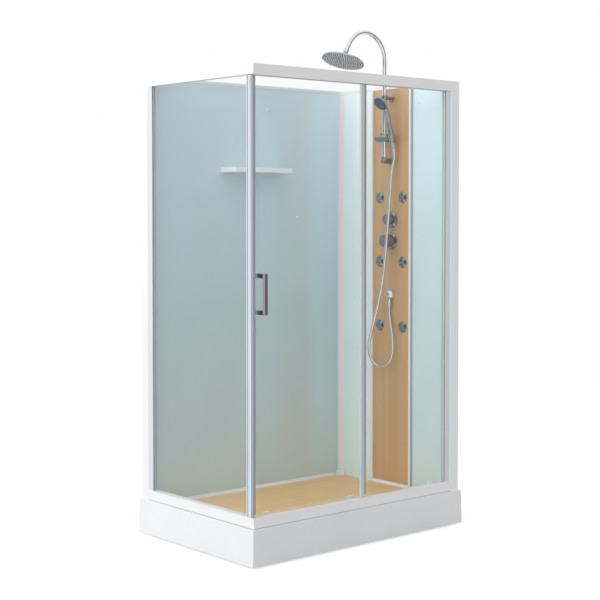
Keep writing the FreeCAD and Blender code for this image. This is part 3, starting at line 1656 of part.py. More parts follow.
def make_valve_plates():
    plates = []
    for z in (s.mixer_z, s.diverter_z):
        plate = turned("valve_plate", [
            (s.spindle_hole, zero), (s.plate_radius, zero), (s.plate_radius, s.plate_rim),
            (s.plate_top_radius, s.plate_dome), (s.spindle_hole, s.plate_dome),
        ])
        plates.append(facing_wall(plate, wall_x, s.column_y, z))
    node(group("valve_plates", *plates), "valve_plates")


def knob_shell(name, radius, front, z):
    """A cap that turns on its spindle, just clear of the plate behind it."""
    base = s.plate_dome + s.knob_gap
    bore = s.spindle_radius + s.bore_clearance
    edge = s.knob_edge_radius
    body = turned(name, [
        (bore, base), (radius, base), (radius, front - edge),
        (radius - edge, front, radius - edge, front - edge, 1),
        (zero, front), (zero, front - s.knob_cap), (bore, front - s.knob_cap),
    ])
    return facing_wall(body, wall_x, s.column_y, z)


def make_knobs():
    diverter = knob_shell("diverter_knob", s.diverter_knob_radius, s.diverter_knob_front,
                          s.diverter_z)
    node(diverter, "diverter_knob")
    shell = knob_shell("mixer_shell", s.mixer_knob_radius, s.mixer_knob_front, s.mixer_z)
    start = s.mixer_knob_radius / 2
    lever = cylinder("mixer_lever", s.lever_radius, s.lever_reach - start)
    turn = FreeCAD.Rotation(FreeCAD.Vector(1, 0, 0), 180 - s.lever_angle.value)
    lever.Placement = FreeCAD.Placement(FreeCAD.Vector(), turn)
    lever.setExpression("Placement.Rotation.Angle",
                        f"180 deg - {s.lever_angle.formula} * 1 deg")
    place(lever, wall_x - s.lever_setback, s.column_y - start * sine(s.lever_angle),
          s.mixer_z - start * cosine(s.lever_angle))
    node(fuse("mixer_knob", shell, lever), "mixer_knob")


def make_valve_body():
    x0 = wall_back_x + s.valve_front
    x1 = x0 + s.valve_depth
    half = s.valve_width / 2
    casting = block("valve_block", x0, x1, s.column_y - half, s.column_y + half,
                    s.mixer_z - s.valve_margin, s.diverter_z + s.valve_margin)
    pieces = [casting]
    for z, front in ((s.mixer_z, s.mixer_knob_front), (s.diverter_z, s.diverter_knob_front)):
        tip = wall_x - front + s.knob_cap + s.joint_gap
        pieces.append(cylinder("spindle", s.spindle_radius, x0 - tip + s.overrun,
                               tip, s.column_y, z, "x"))
    # Arms to the hot and cold threads, which point out of the back of the cabin
    arm_half = s.inlet_arm_height / 2
    reach = s.inlet_pitch / 2
    x2 = x1 - s.wall_thickness
    pieces.append(block("inlet_arm", x0 + s.wall_thickness, x2,
                        s.column_y - reach - arm_half, s.column_y + reach + arm_half,
                        s.mixer_z - arm_half, s.mixer_z + arm_half))
    solid = fuse("valve_solid", *pieces, *[
        cylinder("inlet", s.inlet_radius, x1 + s.inlet_length - x2,
                 x2, s.column_y + side * reach, s.mixer_z, "x")
        for side in (-1, 1)])
    bores = fuse("inlet_bores", *[
        cylinder("inlet_bore", s.inlet_radius - s.inlet_wall, x1 + s.inlet_length - x2,
                 x2 + s.overrun, s.column_y + side * reach, s.mixer_z, "x")
        for side in (-1, 1)])
    node(cut("valve_body", solid, bores), "valve_body")


def jet_places():
    half = s.jet_pitch_y / 2
    places = []
    for row in (1, 0, -1):
        for side in (1, -1):
            places.append((s.column_y + side * half, s.jet_middle_z + row * s.jet_pitch_z))
    return places


def make_jets():
    """Each jet: a flange with a ball seat, screwed through the panel, and a ball nozzle."""
    seat = s.jet_ball_radius + s.jet_ball_clearance
    height = s.jet_flange_height
    ball = -s.jet_ball_sink
    rise = height + s.jet_ball_sink
    lip = Size(math.sqrt(seat.value ** 2 - rise.value ** 2),
               f"sqrt(pow({seat.formula}; 2) - pow({rise.formula}; 2))")
    tail = s.wall_thickness + s.jet_tail
    flat = s.jet_flat
    flat_radius = Size(math.sqrt(s.jet_ball_radius.value ** 2 - flat.value ** 2),
                       f"sqrt(pow({s.jet_ball_radius.formula}; 2) - pow({flat.formula}; 2))")
    flanges = []
    names = [f"{level}_jet_{side}" for level in ("top", "middle", "low")
             for side in ("left", "right")]
    for name, (y, z) in zip(names, jet_places()):
        flange = turned("jet_flange", [
            (s.jet_tail_radius, zero), (s.jet_flange_radius, zero),
            (s.jet_flange_radius, s.jet_flange_rim), (s.jet_flange_shoulder, height),
            (lip, height), (seat, ball, zero, ball, -1),
            (seat, -tail + s.jet_tail_floor), (zero, -tail + s.jet_tail_floor),
            (zero, -tail), (s.jet_tail_radius, -tail),
        ])
        flanges.append(facing_wall(flange, wall_x, y, z))
        nozzle = turned(name, [
            (zero, -s.jet_ball_radius),
            (flat_radius, flat, zero, zero, 1),
            (zero, flat),
        ])
        node(facing_wall(nozzle, wall_x + s.jet_ball_sink, y, z), name)
    node(group("jet_flanges", *flanges), "jet_flanges")


def make_water_pipes():
    """Feeds behind the column: up to the riser, down to the hose outlet, and to the jets."""
    radius = s.pipe_radius
    valve_x = wall_back_x + s.valve_front
    pipe_x = valve_x + s.valve_depth / 2
    valve_top = s.diverter_z + s.valve_margin
    valve_low = s.mixer_z - s.valve_margin
    riser_feed = cylinder("riser_feed", radius,
                          low_bracket_z + s.outlet_tail_radius - valve_top,
                          pipe_x + s.valve_depth / 4, s.column_y, valve_top)
    hose_feed = cylinder("hose_feed", radius,
                         valve_low - s.outlet_z + s.outlet_tail_radius,
                         pipe_x + s.valve_depth / 4, s.column_y, s.outlet_z - s.outlet_tail_radius)
    jet_x = wall_back_x + s.jet_tail + radius
    pieces = [riser_feed, hose_feed]
    half = s.jet_pitch_y / 2
    arm_z = s.diverter_z - s.valve_width
    for side in (-1, 1):
        y = s.column_y + side * half
        drop = cylinder("jet_feed", radius, 2 * s.jet_pitch_z + 2 * radius,
                        jet_x, y, s.jet_middle_z - s.jet_pitch_z - radius)
        y0 = s.column_y + s.valve_width / 2 if side > 0 else y
        y1 = y if side > 0 else s.column_y - s.valve_width / 2
        arm = cylinder("jet_arm", s.jet_arm_radius, y1 - y0, jet_x, y0, arm_z, "y")
        pieces.append(fuse("jet_pipe", drop, arm))
    node(group("water_pipes", *pieces), "water_pipes")


# Shelf on the back wall


def make_shelf():
    left = s.shelf_left
    right = left + s.shelf_length
    front = wall_y - s.shelf_depth
    top = s.shelf_top
    low = top - s.shelf_thickness
    radius = s.shelf_corner_radius
    body = new_body("shelf")
    sketch = new_sketch(body, "XY_Plane", low)
    outline(sketch, [
        (left, wall_y), (left, front + radius),
        (left + radius, front, left + radius, front + radius, 1), (right - radius, front),
        (right, front + radius, right - radius, front + radius, 1), (right, wall_y),
    ])
    pad(body, sketch, s.shelf_thickness)
    lip = s.shelf_lip
    cut_prism(body, "XY_Plane", top - s.shelf_recess, top,
              box_points(left + lip, right - lip, front + lip, wall_y - lip))
    node(body, "shelf")


# The hose hangs free: its route between the first run, which follows the nut of the hand
# shower, and the last run, which rises plumb into the nut of the wall outlet
HOSE_ROUTE = (
    (-39.0, -37.5, 574.0),
    (-49.5, -38.5, 446.0),
    (-62.5, -33.0, 278.0),
    (-63.0, -13.0, 96.0),
    (-62.0, 21.0, -34.0),
    (-59.5, 58.0, -137.0),
    (-57.5, 90.0, -222.0),
    (-53.0, 96.0, -285.0),
    (-47.0, 64.0, -330.0),
    (-42.0, 13.0, -345.0),
    (-36.0, -27.0, -316.0),
    (-28.0, -41.0, -256.0),
    (-21.0, -27.0, -179.0),
)


def make_hose(x, y):
    """Straight runs joined by tangent arcs, swept with a round section."""
    lean_turn = math.radians(s.handset_lean.value)
    down = FreeCAD.Vector(math.sin(lean_turn), 0, -math.cos(lean_turn))
    socket = FreeCAD.Vector(x.value, y.value, slider_z.value)
    start = socket + down * (s.handle_bottom + s.hose_nut_length).value
    end = FreeCAD.Vector(
        (wall_x - s.spigot_standoff).value, s.column_y.value,
        (s.outlet_z - s.spigot_drop - s.outlet_nut_length).value)
    points = [start, start + down * s.hose_first_run.value]
    face = FreeCAD.Vector(wall_x.value, s.column_y.value, s.outlet_z.value)
    points += [face + FreeCAD.Vector(*point) for point in HOSE_ROUTE]
    points += [end - FreeCAD.Vector(0, 0, s.hose_last_run.value), end]
    edges = []
    last = start
    for i in range(1, len(points) - 1):
        before, after = points[i - 1] - points[i], points[i + 1] - points[i]
        half_turn = (math.pi - before.getAngle(after)) / 2
        reach = BEND_SHARE * min(before.Length, after.Length)
        before.normalize()
        after.normalize()
        first = points[i] + before * reach
        final = points[i] + after * reach
        radius = reach / math.tan(half_turn)
        inward = (before + after).normalize()
        middle = points[i] + inward * (radius / math.cos(half_turn) - radius)
        edges.append(Part.LineSegment(last, first).toShape())
        edges.append(Part.Arc(first, middle, final).toShape())
        print("hose bend", i, "radius", round(radius), "turn", round(math.degrees(2 * half_turn)))
        last = final
    edges.append(Part.LineSegment(last, end).toShape())
    path = Part.Wire(edges)
    section = Part.Wire(Part.Circle(start, down, s.hose_radius.value).toShape())
    tube = path.makePipeShell([section], True, False)
    area = math.pi * s.hose_radius.value ** 2
    print("hose length", round(path.Length), "volume share", round(tube.Volume / area / path.Length, 4))
    item = doc.addObject("Part::Feature", "shower_hose")
    item.Shape = tube
    item.Placement = FreeCAD.Placement()
    node(item, "shower_hose")


def main():
    make_tray()
    make_aprons()
    make_feet(make_base_frame())
    make_drain()
    make_floor_board()
    make_posts()
    make_front_rails()
    make_side_rails()
    make_walls()
    make_wall_trims()
    make_column_joints()
    make_wall_channels()
    seal_face = make_side_glass()
    make_fixed_glass()
    door_y, low, high, lead, trail = make_door(seal_face)
    make_handle(door_y, lead)
    make_rollers(door_y, low, high, lead, trail)
    ball_x, ball_z = make_riser()
    make_rain_head(ball_x, ball_z)
    make_riser_brackets()
    barrel_end = make_slider()
    holder_x, holder_y = make_holder(barrel_end)
    make_hand_shower(holder_x, holder_y)
    make_hose(holder_x, holder_y)
    make_outlet()
    make_valve_plates()
    make_knobs()
    make_valve_body()
    make_jets()
    make_water_pipes()
    make_shelf()
    doc.recompute()
    write_files()


def write_files():
    failed = [item.Label for item in doc.Objects
              if "Invalid" in item.State or "Error" in item.State]
    if failed:
        raise RuntimeError(f"These failed: {failed}")
    for item in nodes:
        if item.Shape.isNull() or not item.Shape.isValid():
            raise RuntimeError(f"{item.Label} has no valid shape")
    os.makedirs("parts", exist_ok=True)
    for item in nodes:
        item.Shape.exportStep(os.path.join("parts", item.Label + ".step"))
        print(item.Label, len(item.Shape.Solids), round(item.Shape.Volume))
    print(len(nodes), "nodes")


main()
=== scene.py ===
# %% [markdown]
# # A shower cabin, dressed
# The packed model gives every piece of the cabin its place and size. This lesson keeps the flat
# pieces where they are, eases their edges, rebuilds the round chrome fittings with fine meshes,
# and gives each surface a material made of nodes. Everything is in metres, and each finished
# piece rides on the body that carries it, so that doors, knobs and nozzles still move.

# %% Load the frame
import json
from math import cos, hypot, pi, radians, sin, tan

import bmesh
import bpy
from mathutils import Matrix, Vector


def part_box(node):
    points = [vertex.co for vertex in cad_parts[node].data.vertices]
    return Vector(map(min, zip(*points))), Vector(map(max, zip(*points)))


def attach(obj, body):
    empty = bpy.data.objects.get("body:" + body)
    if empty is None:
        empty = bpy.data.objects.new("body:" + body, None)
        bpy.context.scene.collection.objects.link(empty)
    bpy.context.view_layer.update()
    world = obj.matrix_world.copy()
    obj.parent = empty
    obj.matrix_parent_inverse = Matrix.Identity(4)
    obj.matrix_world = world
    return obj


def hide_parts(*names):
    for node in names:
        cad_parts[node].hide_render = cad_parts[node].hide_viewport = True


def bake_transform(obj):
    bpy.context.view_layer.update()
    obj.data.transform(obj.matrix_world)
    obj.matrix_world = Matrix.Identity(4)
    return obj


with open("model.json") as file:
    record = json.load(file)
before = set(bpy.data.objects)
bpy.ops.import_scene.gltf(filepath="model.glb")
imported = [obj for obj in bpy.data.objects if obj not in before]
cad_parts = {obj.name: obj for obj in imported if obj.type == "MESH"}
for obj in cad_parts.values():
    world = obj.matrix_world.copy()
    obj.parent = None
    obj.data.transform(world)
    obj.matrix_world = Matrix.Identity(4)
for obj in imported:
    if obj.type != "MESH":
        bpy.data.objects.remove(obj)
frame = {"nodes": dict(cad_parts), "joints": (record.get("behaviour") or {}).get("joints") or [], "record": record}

scene = bpy.context.scene
nodes = frame["nodes"]
box = {name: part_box(name) for name in nodes}
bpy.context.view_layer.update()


def pivot(joint):
    """The point that a joint turns about."""
    return Vector(next(j["pos_m"] for j in frame["joints"] if j["name"] == joint))


def body_of_node(node):
    """The body that carries a node."""
    return next(b for b, members in frame["record"]["behaviour"]["bodies"].items() if node in members)


# %% [markdown]
# ## The camera
# The photograph looks at the near corner from about chest height, with a long lens, so that the
# upright posts stay upright. A camera can be placed by eye, but here its place, turn and lens
# were solved from the corners of the tray and the rails, so the render can be laid over the
# photo. It is level but for two degrees, and a small shift moves the picture on the sensor, as a
# product photographer does to keep verticals straight.

# %% Set the camera
CAMERA_PLACE = Vector((-3.8736, -4.4973, 1.4108))
CAMERA_YAW = 40.626
CAMERA_DIP = 1.8715
FOCAL_SHARE = 1341.2 / 600
SENSOR = 36.0
UP_SHIFT_SHARE = -0.075

camera_data = bpy.data.cameras.new("camera")
camera_data.sensor_width = SENSOR
camera_data.lens = SENSOR * FOCAL_SHARE
camera_data.shift_y = UP_SHIFT_SHARE
camera_data.clip_end = 100.0
camera = bpy.data.objects.new("camera", camera_data)
camera.location = CAMERA_PLACE
camera.rotation_euler = (radians(90 - CAMERA_DIP), 0, -radians(CAMERA_YAW))
scene.collection.objects.link(camera)
scene.camera = camera
scene.view_settings.view_transform = "Standard"
print("lens", round(camera_data.lens, 2), "mm")

# %% [markdown]
# ## Helpers for materials
# A finish is one Principled shader with a few nodes that feed it. The nodes could be wired by
# hand for each finish. This helper keeps each recipe short instead: it adds nodes, links sockets,
# and makes the patterns used most, which are noise, colour ramps and bump. All patterns read
# Object coordinates, which are metres on the cabin, so they keep their size on every piece.

# %% A material with one shader


class Surface:
    """A material with one Principled shader, and short ways to add and link nodes.

    A setting is a socket's name with an underscore for each space, such as Coat_Weight.
    """

    def __init__(self, name, color, roughness, **settings):
        self.material = bpy.data.materials.new(name)
        self.material.use_nodes = True
        self.tree = self.material.node_tree
        self.tree.nodes.clear()
        self.output = self.add("ShaderNodeOutputMaterial")
        self.shader = self.add("ShaderNodeBsdfPrincipled")
        self.link(self.shader, "BSDF", self.output, "Surface")
        self.place = self.add("ShaderNodeTexCoord")
        self.set("Base Color", (*color, 1.0))
        self.set("Roughness", roughness)
        self.material.diffuse_color = (*color, 1.0)
        for key, value in settings.items():
            self.set(key.replace("_", " "), value)

    def add(self, kind, **settings):
        """A new node with its settings."""
        node = self.tree.nodes.new(kind)
        for key, value in settings.items():
            setattr(node, key, value)
        return node

    def set(self, socket, value):
        """Puts a constant in a socket of the shader."""
        self.shader.inputs[socket].default_value = value

    def link(self, source, out, target, socket):
        """Feeds one node's output to another's socket."""
        self.tree.links.new(source.outputs[out], target.inputs[socket])


def linear(red, green, blue):
    """A colour given as 0..255 screen values, turned into the linear values of a shader."""
    return tuple(((c / 255 + 0.055) / 1.055) ** 2.4 for c in (red, green, blue))


print("mid grey as the shader wants it:", [round(c, 3) for c in linear(128, 128, 128)])

# %% Patterns that feed the shader


class Finish(Surface):
    """A surface with noise, ramps and bump."""

    def coordinates(self, stretch=(1, 1, 1)):
        """Object coordinates, stretched along each axis."""
        mapping = self.add("ShaderNodeMapping")
        mapping.inputs["Scale"].default_value = stretch
        self.link(self.place, "Object", mapping, "Vector")
        return mapping

    def noise(self, scale, stretch=(1, 1, 1), detail=3.0):
        """Soft noise, scale in patches a metre."""
        noise = self.add("ShaderNodeTexNoise")
        noise.inputs["Scale"].default_value = scale
        noise.inputs["Detail"].default_value = detail
        self.link(self.coordinates(stretch), "Vector", noise, "Vector")
        return noise

    def spread(self, source, low, high, out="Fac"):
        """Maps a pattern from 0..1 onto a range."""
        spread = self.add("ShaderNodeMapRange")
        spread.inputs["To Min"].default_value = low
        spread.inputs["To Max"].default_value = high
        self.link(source, out, spread, "Value")
        return spread

    def ramp(self, source, *stops, out="Fac"):
        """A colour ramp over a pattern; stops are (place, colour)."""
        ramp = self.add("ShaderNodeValToRGB")
        band = ramp.color_ramp
        while len(band.elements) < len(stops):
            band.elements.new(0.5)
        for element, (place, color) in zip(band.elements, stops):
            element.position = place
            element.color = (*color, 1.0)
        self.link(source, out, ramp, "Fac")
        return ramp

    def multiply(self, first, second):
        """Multiplies two colour outputs, and gives back the colour output."""
        mix = self.add("ShaderNodeMix", data_type="RGBA", blend_type="MULTIPLY")
        used = {socket.name: socket for socket in mix.inputs if socket.enabled}
        self.tree.links.new(first, used["A"])
        self.tree.links.new(second, used["B"])
        used["Factor"].default_value = 1.0
        return next(socket for socket in mix.outputs if socket.enabled)

    def bump(self, source, distance, strength=1.0, below=None):
        """Bump from a pattern; distance is the relief in metres."""
        bump = self.add("ShaderNodeBump")
        bump.inputs["Distance"].default_value = distance
        bump.inputs["Strength"].default_value = strength
        self.link(source, "Fac", bump, "Height")
        if below:
            self.link(below, "Normal", bump, "Normal")
        self.link(bump, "Normal", self.shader, "Normal")
        return bump


print("patterns:", ", ".join(name for name in vars(Finish) if not name.startswith("_")))

# %% [markdown]
# ## White surfaces
# The tray and its panels are cast acrylic, glossy with a slow waviness. The rails and posts are
# powder coated, which leaves a fine orange peel. The shelf and the carriers are moulded plastic.
# An image of each surface could be wrapped on, but a plain white has no picture to show. So one
# recipe serves them all: a colour that drifts by two percent, a roughness that drifts, and
# a bump of the right scale.

# %% Mix the white finishes
CLOUD_SCALE, CLOUD_DRIFT = 2.5, 0.02
DUST_SCALE = 40.0
WAVE_SCALE, WAVE_STRENGTH = 7.0, 0.6
WAVES_TO_PEEL = 6


def white_finish(name, color, roughness, peel_scale, peel, coat):
    """White with an orange peel; peel_scale is in grains a metre and peel is its relief in metres."""
    made = Finish(name, color, roughness, Coat_Weight=coat, Coat_Roughness=0.08)
    paler = tuple(min(1.0, c * (1 + CLOUD_DRIFT)) for c in color)
    darker = tuple(c * (1 - CLOUD_DRIFT) for c in color)
    tint = made.ramp(made.noise(CLOUD_SCALE), (0.35, darker), (0.65, paler))
    made.link(tint, "Color", made.shader, "Base Color")
    dust = made.spread(made.noise(DUST_SCALE), roughness - 0.05, roughness + 0.07)
    made.link(dust, "Result", made.shader, "Roughness")
    wave = made.bump(made.noise(WAVE_SCALE, detail=1.0), peel * WAVES_TO_PEEL, WAVE_STRENGTH)
    made.bump(made.noise(peel_scale), peel, below=wave)
    return made.material


acrylic = white_finish("white_acrylic", (0.84, 0.845, 0.855), 0.2, 160.0, 0.00002, 0.4)
coating = white_finish("white_coating", (0.86, 0.86, 0.87), 0.34, 700.0, 0.00003, 0.1)
moulded = white_finish("white_moulded", (0.88, 0.885, 0.89), 0.3, 350.0, 0.00002, 0.1)
shelf_white = white_finish("white_shelf", (0.88, 0.93, 0.96), 0.3, 350.0, 0.00002, 0.2)
print("white finishes:", acrylic.name, coating.name, moulded.name, shelf_white.name)

# %% [markdown]
# ## Glass
# The door and the fixed panes are clear. A pane could be a true glass shader, whose bent light
# takes many samples to come clean. But 5 mm of glass hardly bends the view, so here it is a mix
# of a see-through shader and a mirror: more mirror at a slant, as real glass has, and on its
# front faces only. Its ground edges are a greener, frosted glass.

# %% Mix the clear glass
GLASS_BEND = 1.45
PANE_TINT = (0.985, 0.995, 0.993, 1.0)
FILM_SCALE, FILM_RUN = 1.5, (1, 1, 0.35)


def clear_glass():
    """See-through glass with a thin, uneven film of water marks on its mirror."""
    made = Finish("clear_glass", (0.9, 0.97, 0.95), 0.02)
    see = made.add("ShaderNodeBsdfTransparent")
    see.inputs["Color"].default_value = PANE_TINT
    mirror = made.add("ShaderNodeBsdfGlossy")
    mirror.inputs["Roughness"].default_value = 0.01
    slant = made.add("ShaderNodeFresnel")
    slant.inputs["IOR"].default_value = GLASS_BEND
    film = made.noise(FILM_SCALE, stretch=FILM_RUN)
    share = made.add("ShaderNodeMath", operation="MULTIPLY")
    made.link(slant, "Fac", share, 0)
    made.link(made.spread(film, 0.75, 1.0), "Result", share, 1)
    side = made.add("ShaderNodeNewGeometry")
    front = made.spread(side, 1.0, 0.0, out="Backfacing")
    front_share = made.add("ShaderNodeMath", operation="MULTIPLY")
    made.link(share, "Value", front_share, 0)
    made.link(front, "Result", front_share, 1)
    mix = made.add("ShaderNodeMixShader")
    made.link(front_share, "Value", mix, "Fac")
    made.link(see, "BSDF", mix, 1)
    made.link(mirror, "BSDF", mix, 2)
    made.link(mix, "Shader", made.output, "Surface")
    return made.material


def glass_edge():
    """The ground edge of a pane: green, frosted and rough to the touch."""
    made = Finish("glass_edge", (0.55, 0.74, 0.7), 0.35, Transmission_Weight=0.35, IOR=GLASS_BEND)
    grind = made.noise(900.0)
    made.link(made.spread(grind, 0.25, 0.5), "Result", made.shader, "Roughness")
    made.bump(grind, 0.00004)
    return made.material


pane = clear_glass()
pane_edge = glass_edge()
print("clear glass:", pane.name, pane_edge.name)

# %% [markdown]
# ## Coloured walls
# The walls are glass with a lacquered back. Real light would pass the glass, meet the lacquer and
# come back. An opaque blue-green under a hard, mirror-smooth coat gives the same look for far
# less work, because nothing can be seen through it. A ramp over the height makes the tone lighter
# towards the head, as painted light from above, and slow noise keeps the sheet from looking printed.
# The back wall and the two panels of the right wall are one glass in different tones: the back wall
# darker, as painted shade, and the right wall's panels lighter, as painted light from the left.

# %% Mix the coloured glass
WALL_FOOT, WALL_HEAD, WALL_MIDDLE = 0.1, 2.0, 0.45
CLOUDY = 0.03


def wall_glass(name, low, middle, top):
    """Coloured glass; low, middle and top are its tones from the foot to the head, lighter at the head as painted
    light.
    """
    made = Finish(name, linear(*middle), 0.28, Coat_Weight=1.0, Coat_Roughness=0.02)
    split = made.add("ShaderNodeSeparateXYZ")
    made.link(made.place, "Object", split, "Vector")
    # The ramp over the height paints light: lighter towards the head.
    climb = made.add("ShaderNodeMapRange")
    climb.inputs["From Min"].default_value = WALL_FOOT
    climb.inputs["From Max"].default_value = WALL_HEAD
    made.link(split, "Z", climb, "Value")
    stops = (0.0, linear(*low)), (WALL_MIDDLE, linear(*middle)), (1.0, linear(*top))
    height = made.ramp(climb, *stops, out="Result")
    drift = made.noise(3.0, stretch=(1, 1, 0.4))
    cloud = made.ramp(drift, (0.3, (1 - CLOUDY,) * 3), (0.7, (1 + CLOUDY,) * 3))
    tint = made.multiply(height.outputs["Color"], cloud.outputs["Color"])
    made.tree.links.new(tint, made.shader.inputs["Base Color"])
    made.bump(made.noise(3.0, detail=1.0), 0.0002, 0.3)
    return made.material


# One glass in three tones of painted light and shade: the back wall darker, the right wall's panels lighter, the
# rear panel lightest.
wall_back_painted_shade = wall_glass("wall_glass_back", (190, 210, 212), (192, 213, 221), (214, 233, 243))
wall_corner_painted_light = wall_glass("wall_glass_corner", (234, 250, 250), (236, 250, 251), (242, 253, 254))
wall_front_painted_light = wall_glass("wall_glass_front", (210, 231, 232), (212, 233, 237), (226, 246, 250))
print("coloured walls:", wall_back_painted_shade.name, wall_corner_painted_light.name, wall_front_painted_light.name)

# %% [markdown]
# ## Bamboo
# Bamboo board is glued up from narrow strips, each a slightly different tone, with fibres along
# the strip and a darker knuckle here and there. The column is a lacquered veneer with upright
# strips. The floor board is oiled planks, whose strips run along the cabin. A wood texture node
# would give rings, which bamboo doesn't have. Here the place across the board is divided by the
# strip's width and rounded down, so each strip has a number, and white noise gives that number
# a tone. Stretched noise adds the fibres. Both boards come from one recipe.

# %% Mix the bamboo
FIBRE_ACROSS, FIBRE_ALONG, FIBRE_SCALE = 60.0, 1.6, 9.0
BROAD_ACROSS, BROAD_ALONG, BROAD_SCALE = 6.0, 0.8, 1.2
FIBRE_SHARE, BROAD_SHARE = 0.55, 0.5
LEAST_TONE, MOST_TONE = 0.3, 0.7
DARK_AT = 0.45


def bamboo(name, pale, dark, along, across, strip, roughness, coat):
    """Bamboo strips. They run along one axis (0 for X, 2 for Z) and lie side by side on another."""
    made = Finish(name, pale, roughness, Coat_Weight=coat, Coat_Roughness=0.12)
    split = made.add("ShaderNodeSeparateXYZ")
    made.link(made.place, "Object", split, "Vector")
    count = made.add("ShaderNodeMath", operation="DIVIDE")
    made.link(split, across, count, 0)
    count.inputs[1].default_value = strip
    number = made.add("ShaderNodeMath", operation="FLOOR")
    made.link(count, "Value", number, 0)
    tone = made.add("ShaderNodeTexWhiteNoise", noise_dimensions="1D")
    made.link(number, "Value", tone, "W")
    fine, wide = [FIBRE_ACROSS] * 3, [BROAD_ACROSS] * 3
    fine[along], wide[along] = FIBRE_ALONG, BROAD_ALONG
    fibre = made.noise(FIBRE_SCALE, stretch=tuple(fine), detail=6.0)
    broad = made.noise(BROAD_SCALE, stretch=tuple(wide), detail=2.0)
    strips = made.spread(tone, LEAST_TONE, MOST_TONE, out="Value")
    total = made.add("ShaderNodeMath", operation="MULTIPLY_ADD")
    made.link(fibre, "Fac", total, 0)
    total.inputs[1].default_value = FIBRE_SHARE
    made.link(strips, "Result", total, 2)
    level = made.add("ShaderNodeMath", operation="MULTIPLY_ADD")
    made.link(broad, "Fac", level, 0)
    level.inputs[1].default_value = BROAD_SHARE
    made.link(total, "Value", level, 2)
    color = made.ramp(level, (DARK_AT, dark), (1.0, pale), out="Value")
    made.link(color, "Color", made.shader, "Base Color")
    made.link(made.spread(fibre, roughness - 0.06, roughness + 0.1), "Result", made.shader, "Roughness")
    made.bump(fibre, 0.00006, 0.5)
    return made.material


STRIP_WIDTH = 0.02
column_bamboo = bamboo(
    "bamboo_panel", linear(209, 168, 122), linear(190, 147, 101), 2, "Y", STRIP_WIDTH, 0.3, 1.0)
floor_bamboo = bamboo(
    "bamboo_board", linear(240, 199, 145), linear(222, 175, 118), 0, "Y", STRIP_WIDTH, 0.45, 0.1)
print("bamboo:", column_bamboo.name, floor_bamboo.name)

# %% [markdown]
# ## Metal
# Chrome is a mirror with a trace of smudge, so its roughness wanders a little. Anodised profiles
# are drawn through a die and keep faint lines along their length. A photo of brushed metal could
# give both, but it would show its seams on a long profile, so they are made of noise, which is
# stretched upward for the profiles. The fixed profile beside the sliding door and the channels
# have a duller, paler film, so they are only partly metal. The chrome of the riser and the outlet
# is paler than real chrome, as a painted highlight, and the chrome of the other fittings is darker,
# as painted shade for the dark room that they mirror.

# %% Mix the metals
DRAWN = (12, 12, 0.2)
SMUDGE_SHADE = 0.94


def metal(name, color, low, high, scale, stretch=(1, 1, 1), relief=0.000004, metallic=1.0):
    """Metal whose roughness wanders from low to high in smudges; scale is in smudges a metre."""
    made = Finish(name, color, low, Metallic=metallic)
    smudge = made.noise(scale, stretch=stretch)
    made.link(made.spread(smudge, low, high), "Result", made.shader, "Roughness")
    darker = tuple(c * SMUDGE_SHADE for c in color)
    tint = made.ramp(smudge, (0.35, darker), (0.7, color))
    made.link(tint, "Color", made.shader, "Base Color")
    made.bump(smudge, relief, 0.4)
    return made.material


chrome = metal("bright_chrome", (0.56, 0.57, 0.59), 0.03, 0.09, 25.0)
# Paler than real chrome: a painted highlight on the riser and the outlet.
pipe_chrome = metal("pipe_chrome", (0.8, 0.805, 0.82), 0.03, 0.08, 25.0)
# Darker than real chrome: painted shade for the dark room that the fittings mirror.
chrome_painted_shade = metal("fitting_chrome", (0.37, 0.39, 0.41), 0.03, 0.09, 25.0)
profile_metal = metal("bright_profile", (0.77, 0.84, 0.89), 0.14, 0.26, 30.0, DRAWN)
fixed_metal = metal("fixed_profile", (0.79, 0.86, 0.89), 0.16, 0.28, 30.0, DRAWN, metallic=0.5)
channel_metal = metal("grey_channel", (0.72, 0.77, 0.79), 0.38, 0.5, 30.0, DRAWN, metallic=0.1)
frame_steel = metal("plain_steel", (0.55, 0.56, 0.57), 0.3, 0.5, 45.0, relief=0.00003)
hose_metal = metal("hose_metal", (0.78, 0.78, 0.8), 0.2, 0.3, 80.0)
print("metals ready, from", chrome_painted_shade.name, "to", hose_metal.name)

# %% [markdown]
# ## Rubber and plastic
# Pads, wheels, seals, nozzles and the waste pipe are moulded, and a mould leaves a fine even
# grain. A plain colour would do from afar, but close by it looks like wax. One recipe gives each
# of them a colour that is a tenth darker in its hollows, as painted shade, a roughness that follows
# the same grain, and a relief of a few hundredths of a millimetre.

# %% Mix the rubbers and plastics
HOLLOW_PAINTED_SHADE = 0.9


def plain(name, color, roughness, scale, relief, **settings):
    """A moulded finish; scale is in grains a metre and relief is in metres."""
    made = Finish(name, color, roughness, **settings)
    grain = made.noise(scale)
    # Darker in the hollows of the grain: painted shade.
    darker = tuple(c * HOLLOW_PAINTED_SHADE for c in color)
    made.link(made.ramp(grain, (0.3, darker), (0.7, color)), "Color", made.shader, "Base Color")
    made.link(made.spread(grain, roughness - 0.06, roughness + 0.08), "Result", made.shader, "Roughness")
    made.bump(grain, relief)
    return made.material


rubber = plain("black_rubber", (0.03, 0.03, 0.033), 0.6, 500.0, 0.00005)
wheel_plastic = plain("wheel_plastic", (0.9, 0.9, 0.9), 0.35, 300.0, 0.00002)
seal_plastic = plain("seal_strip", (0.7, 0.73, 0.75), 0.35, 200.0, 0.00002, Transmission_Weight=0.15)
# Dark gasket: partly its own grey, partly painted shade of the groove it sits in.
gasket_with_painted_shade = plain("grey_gasket", (0.29, 0.33, 0.4), 0.5, 300.0, 0.00002)
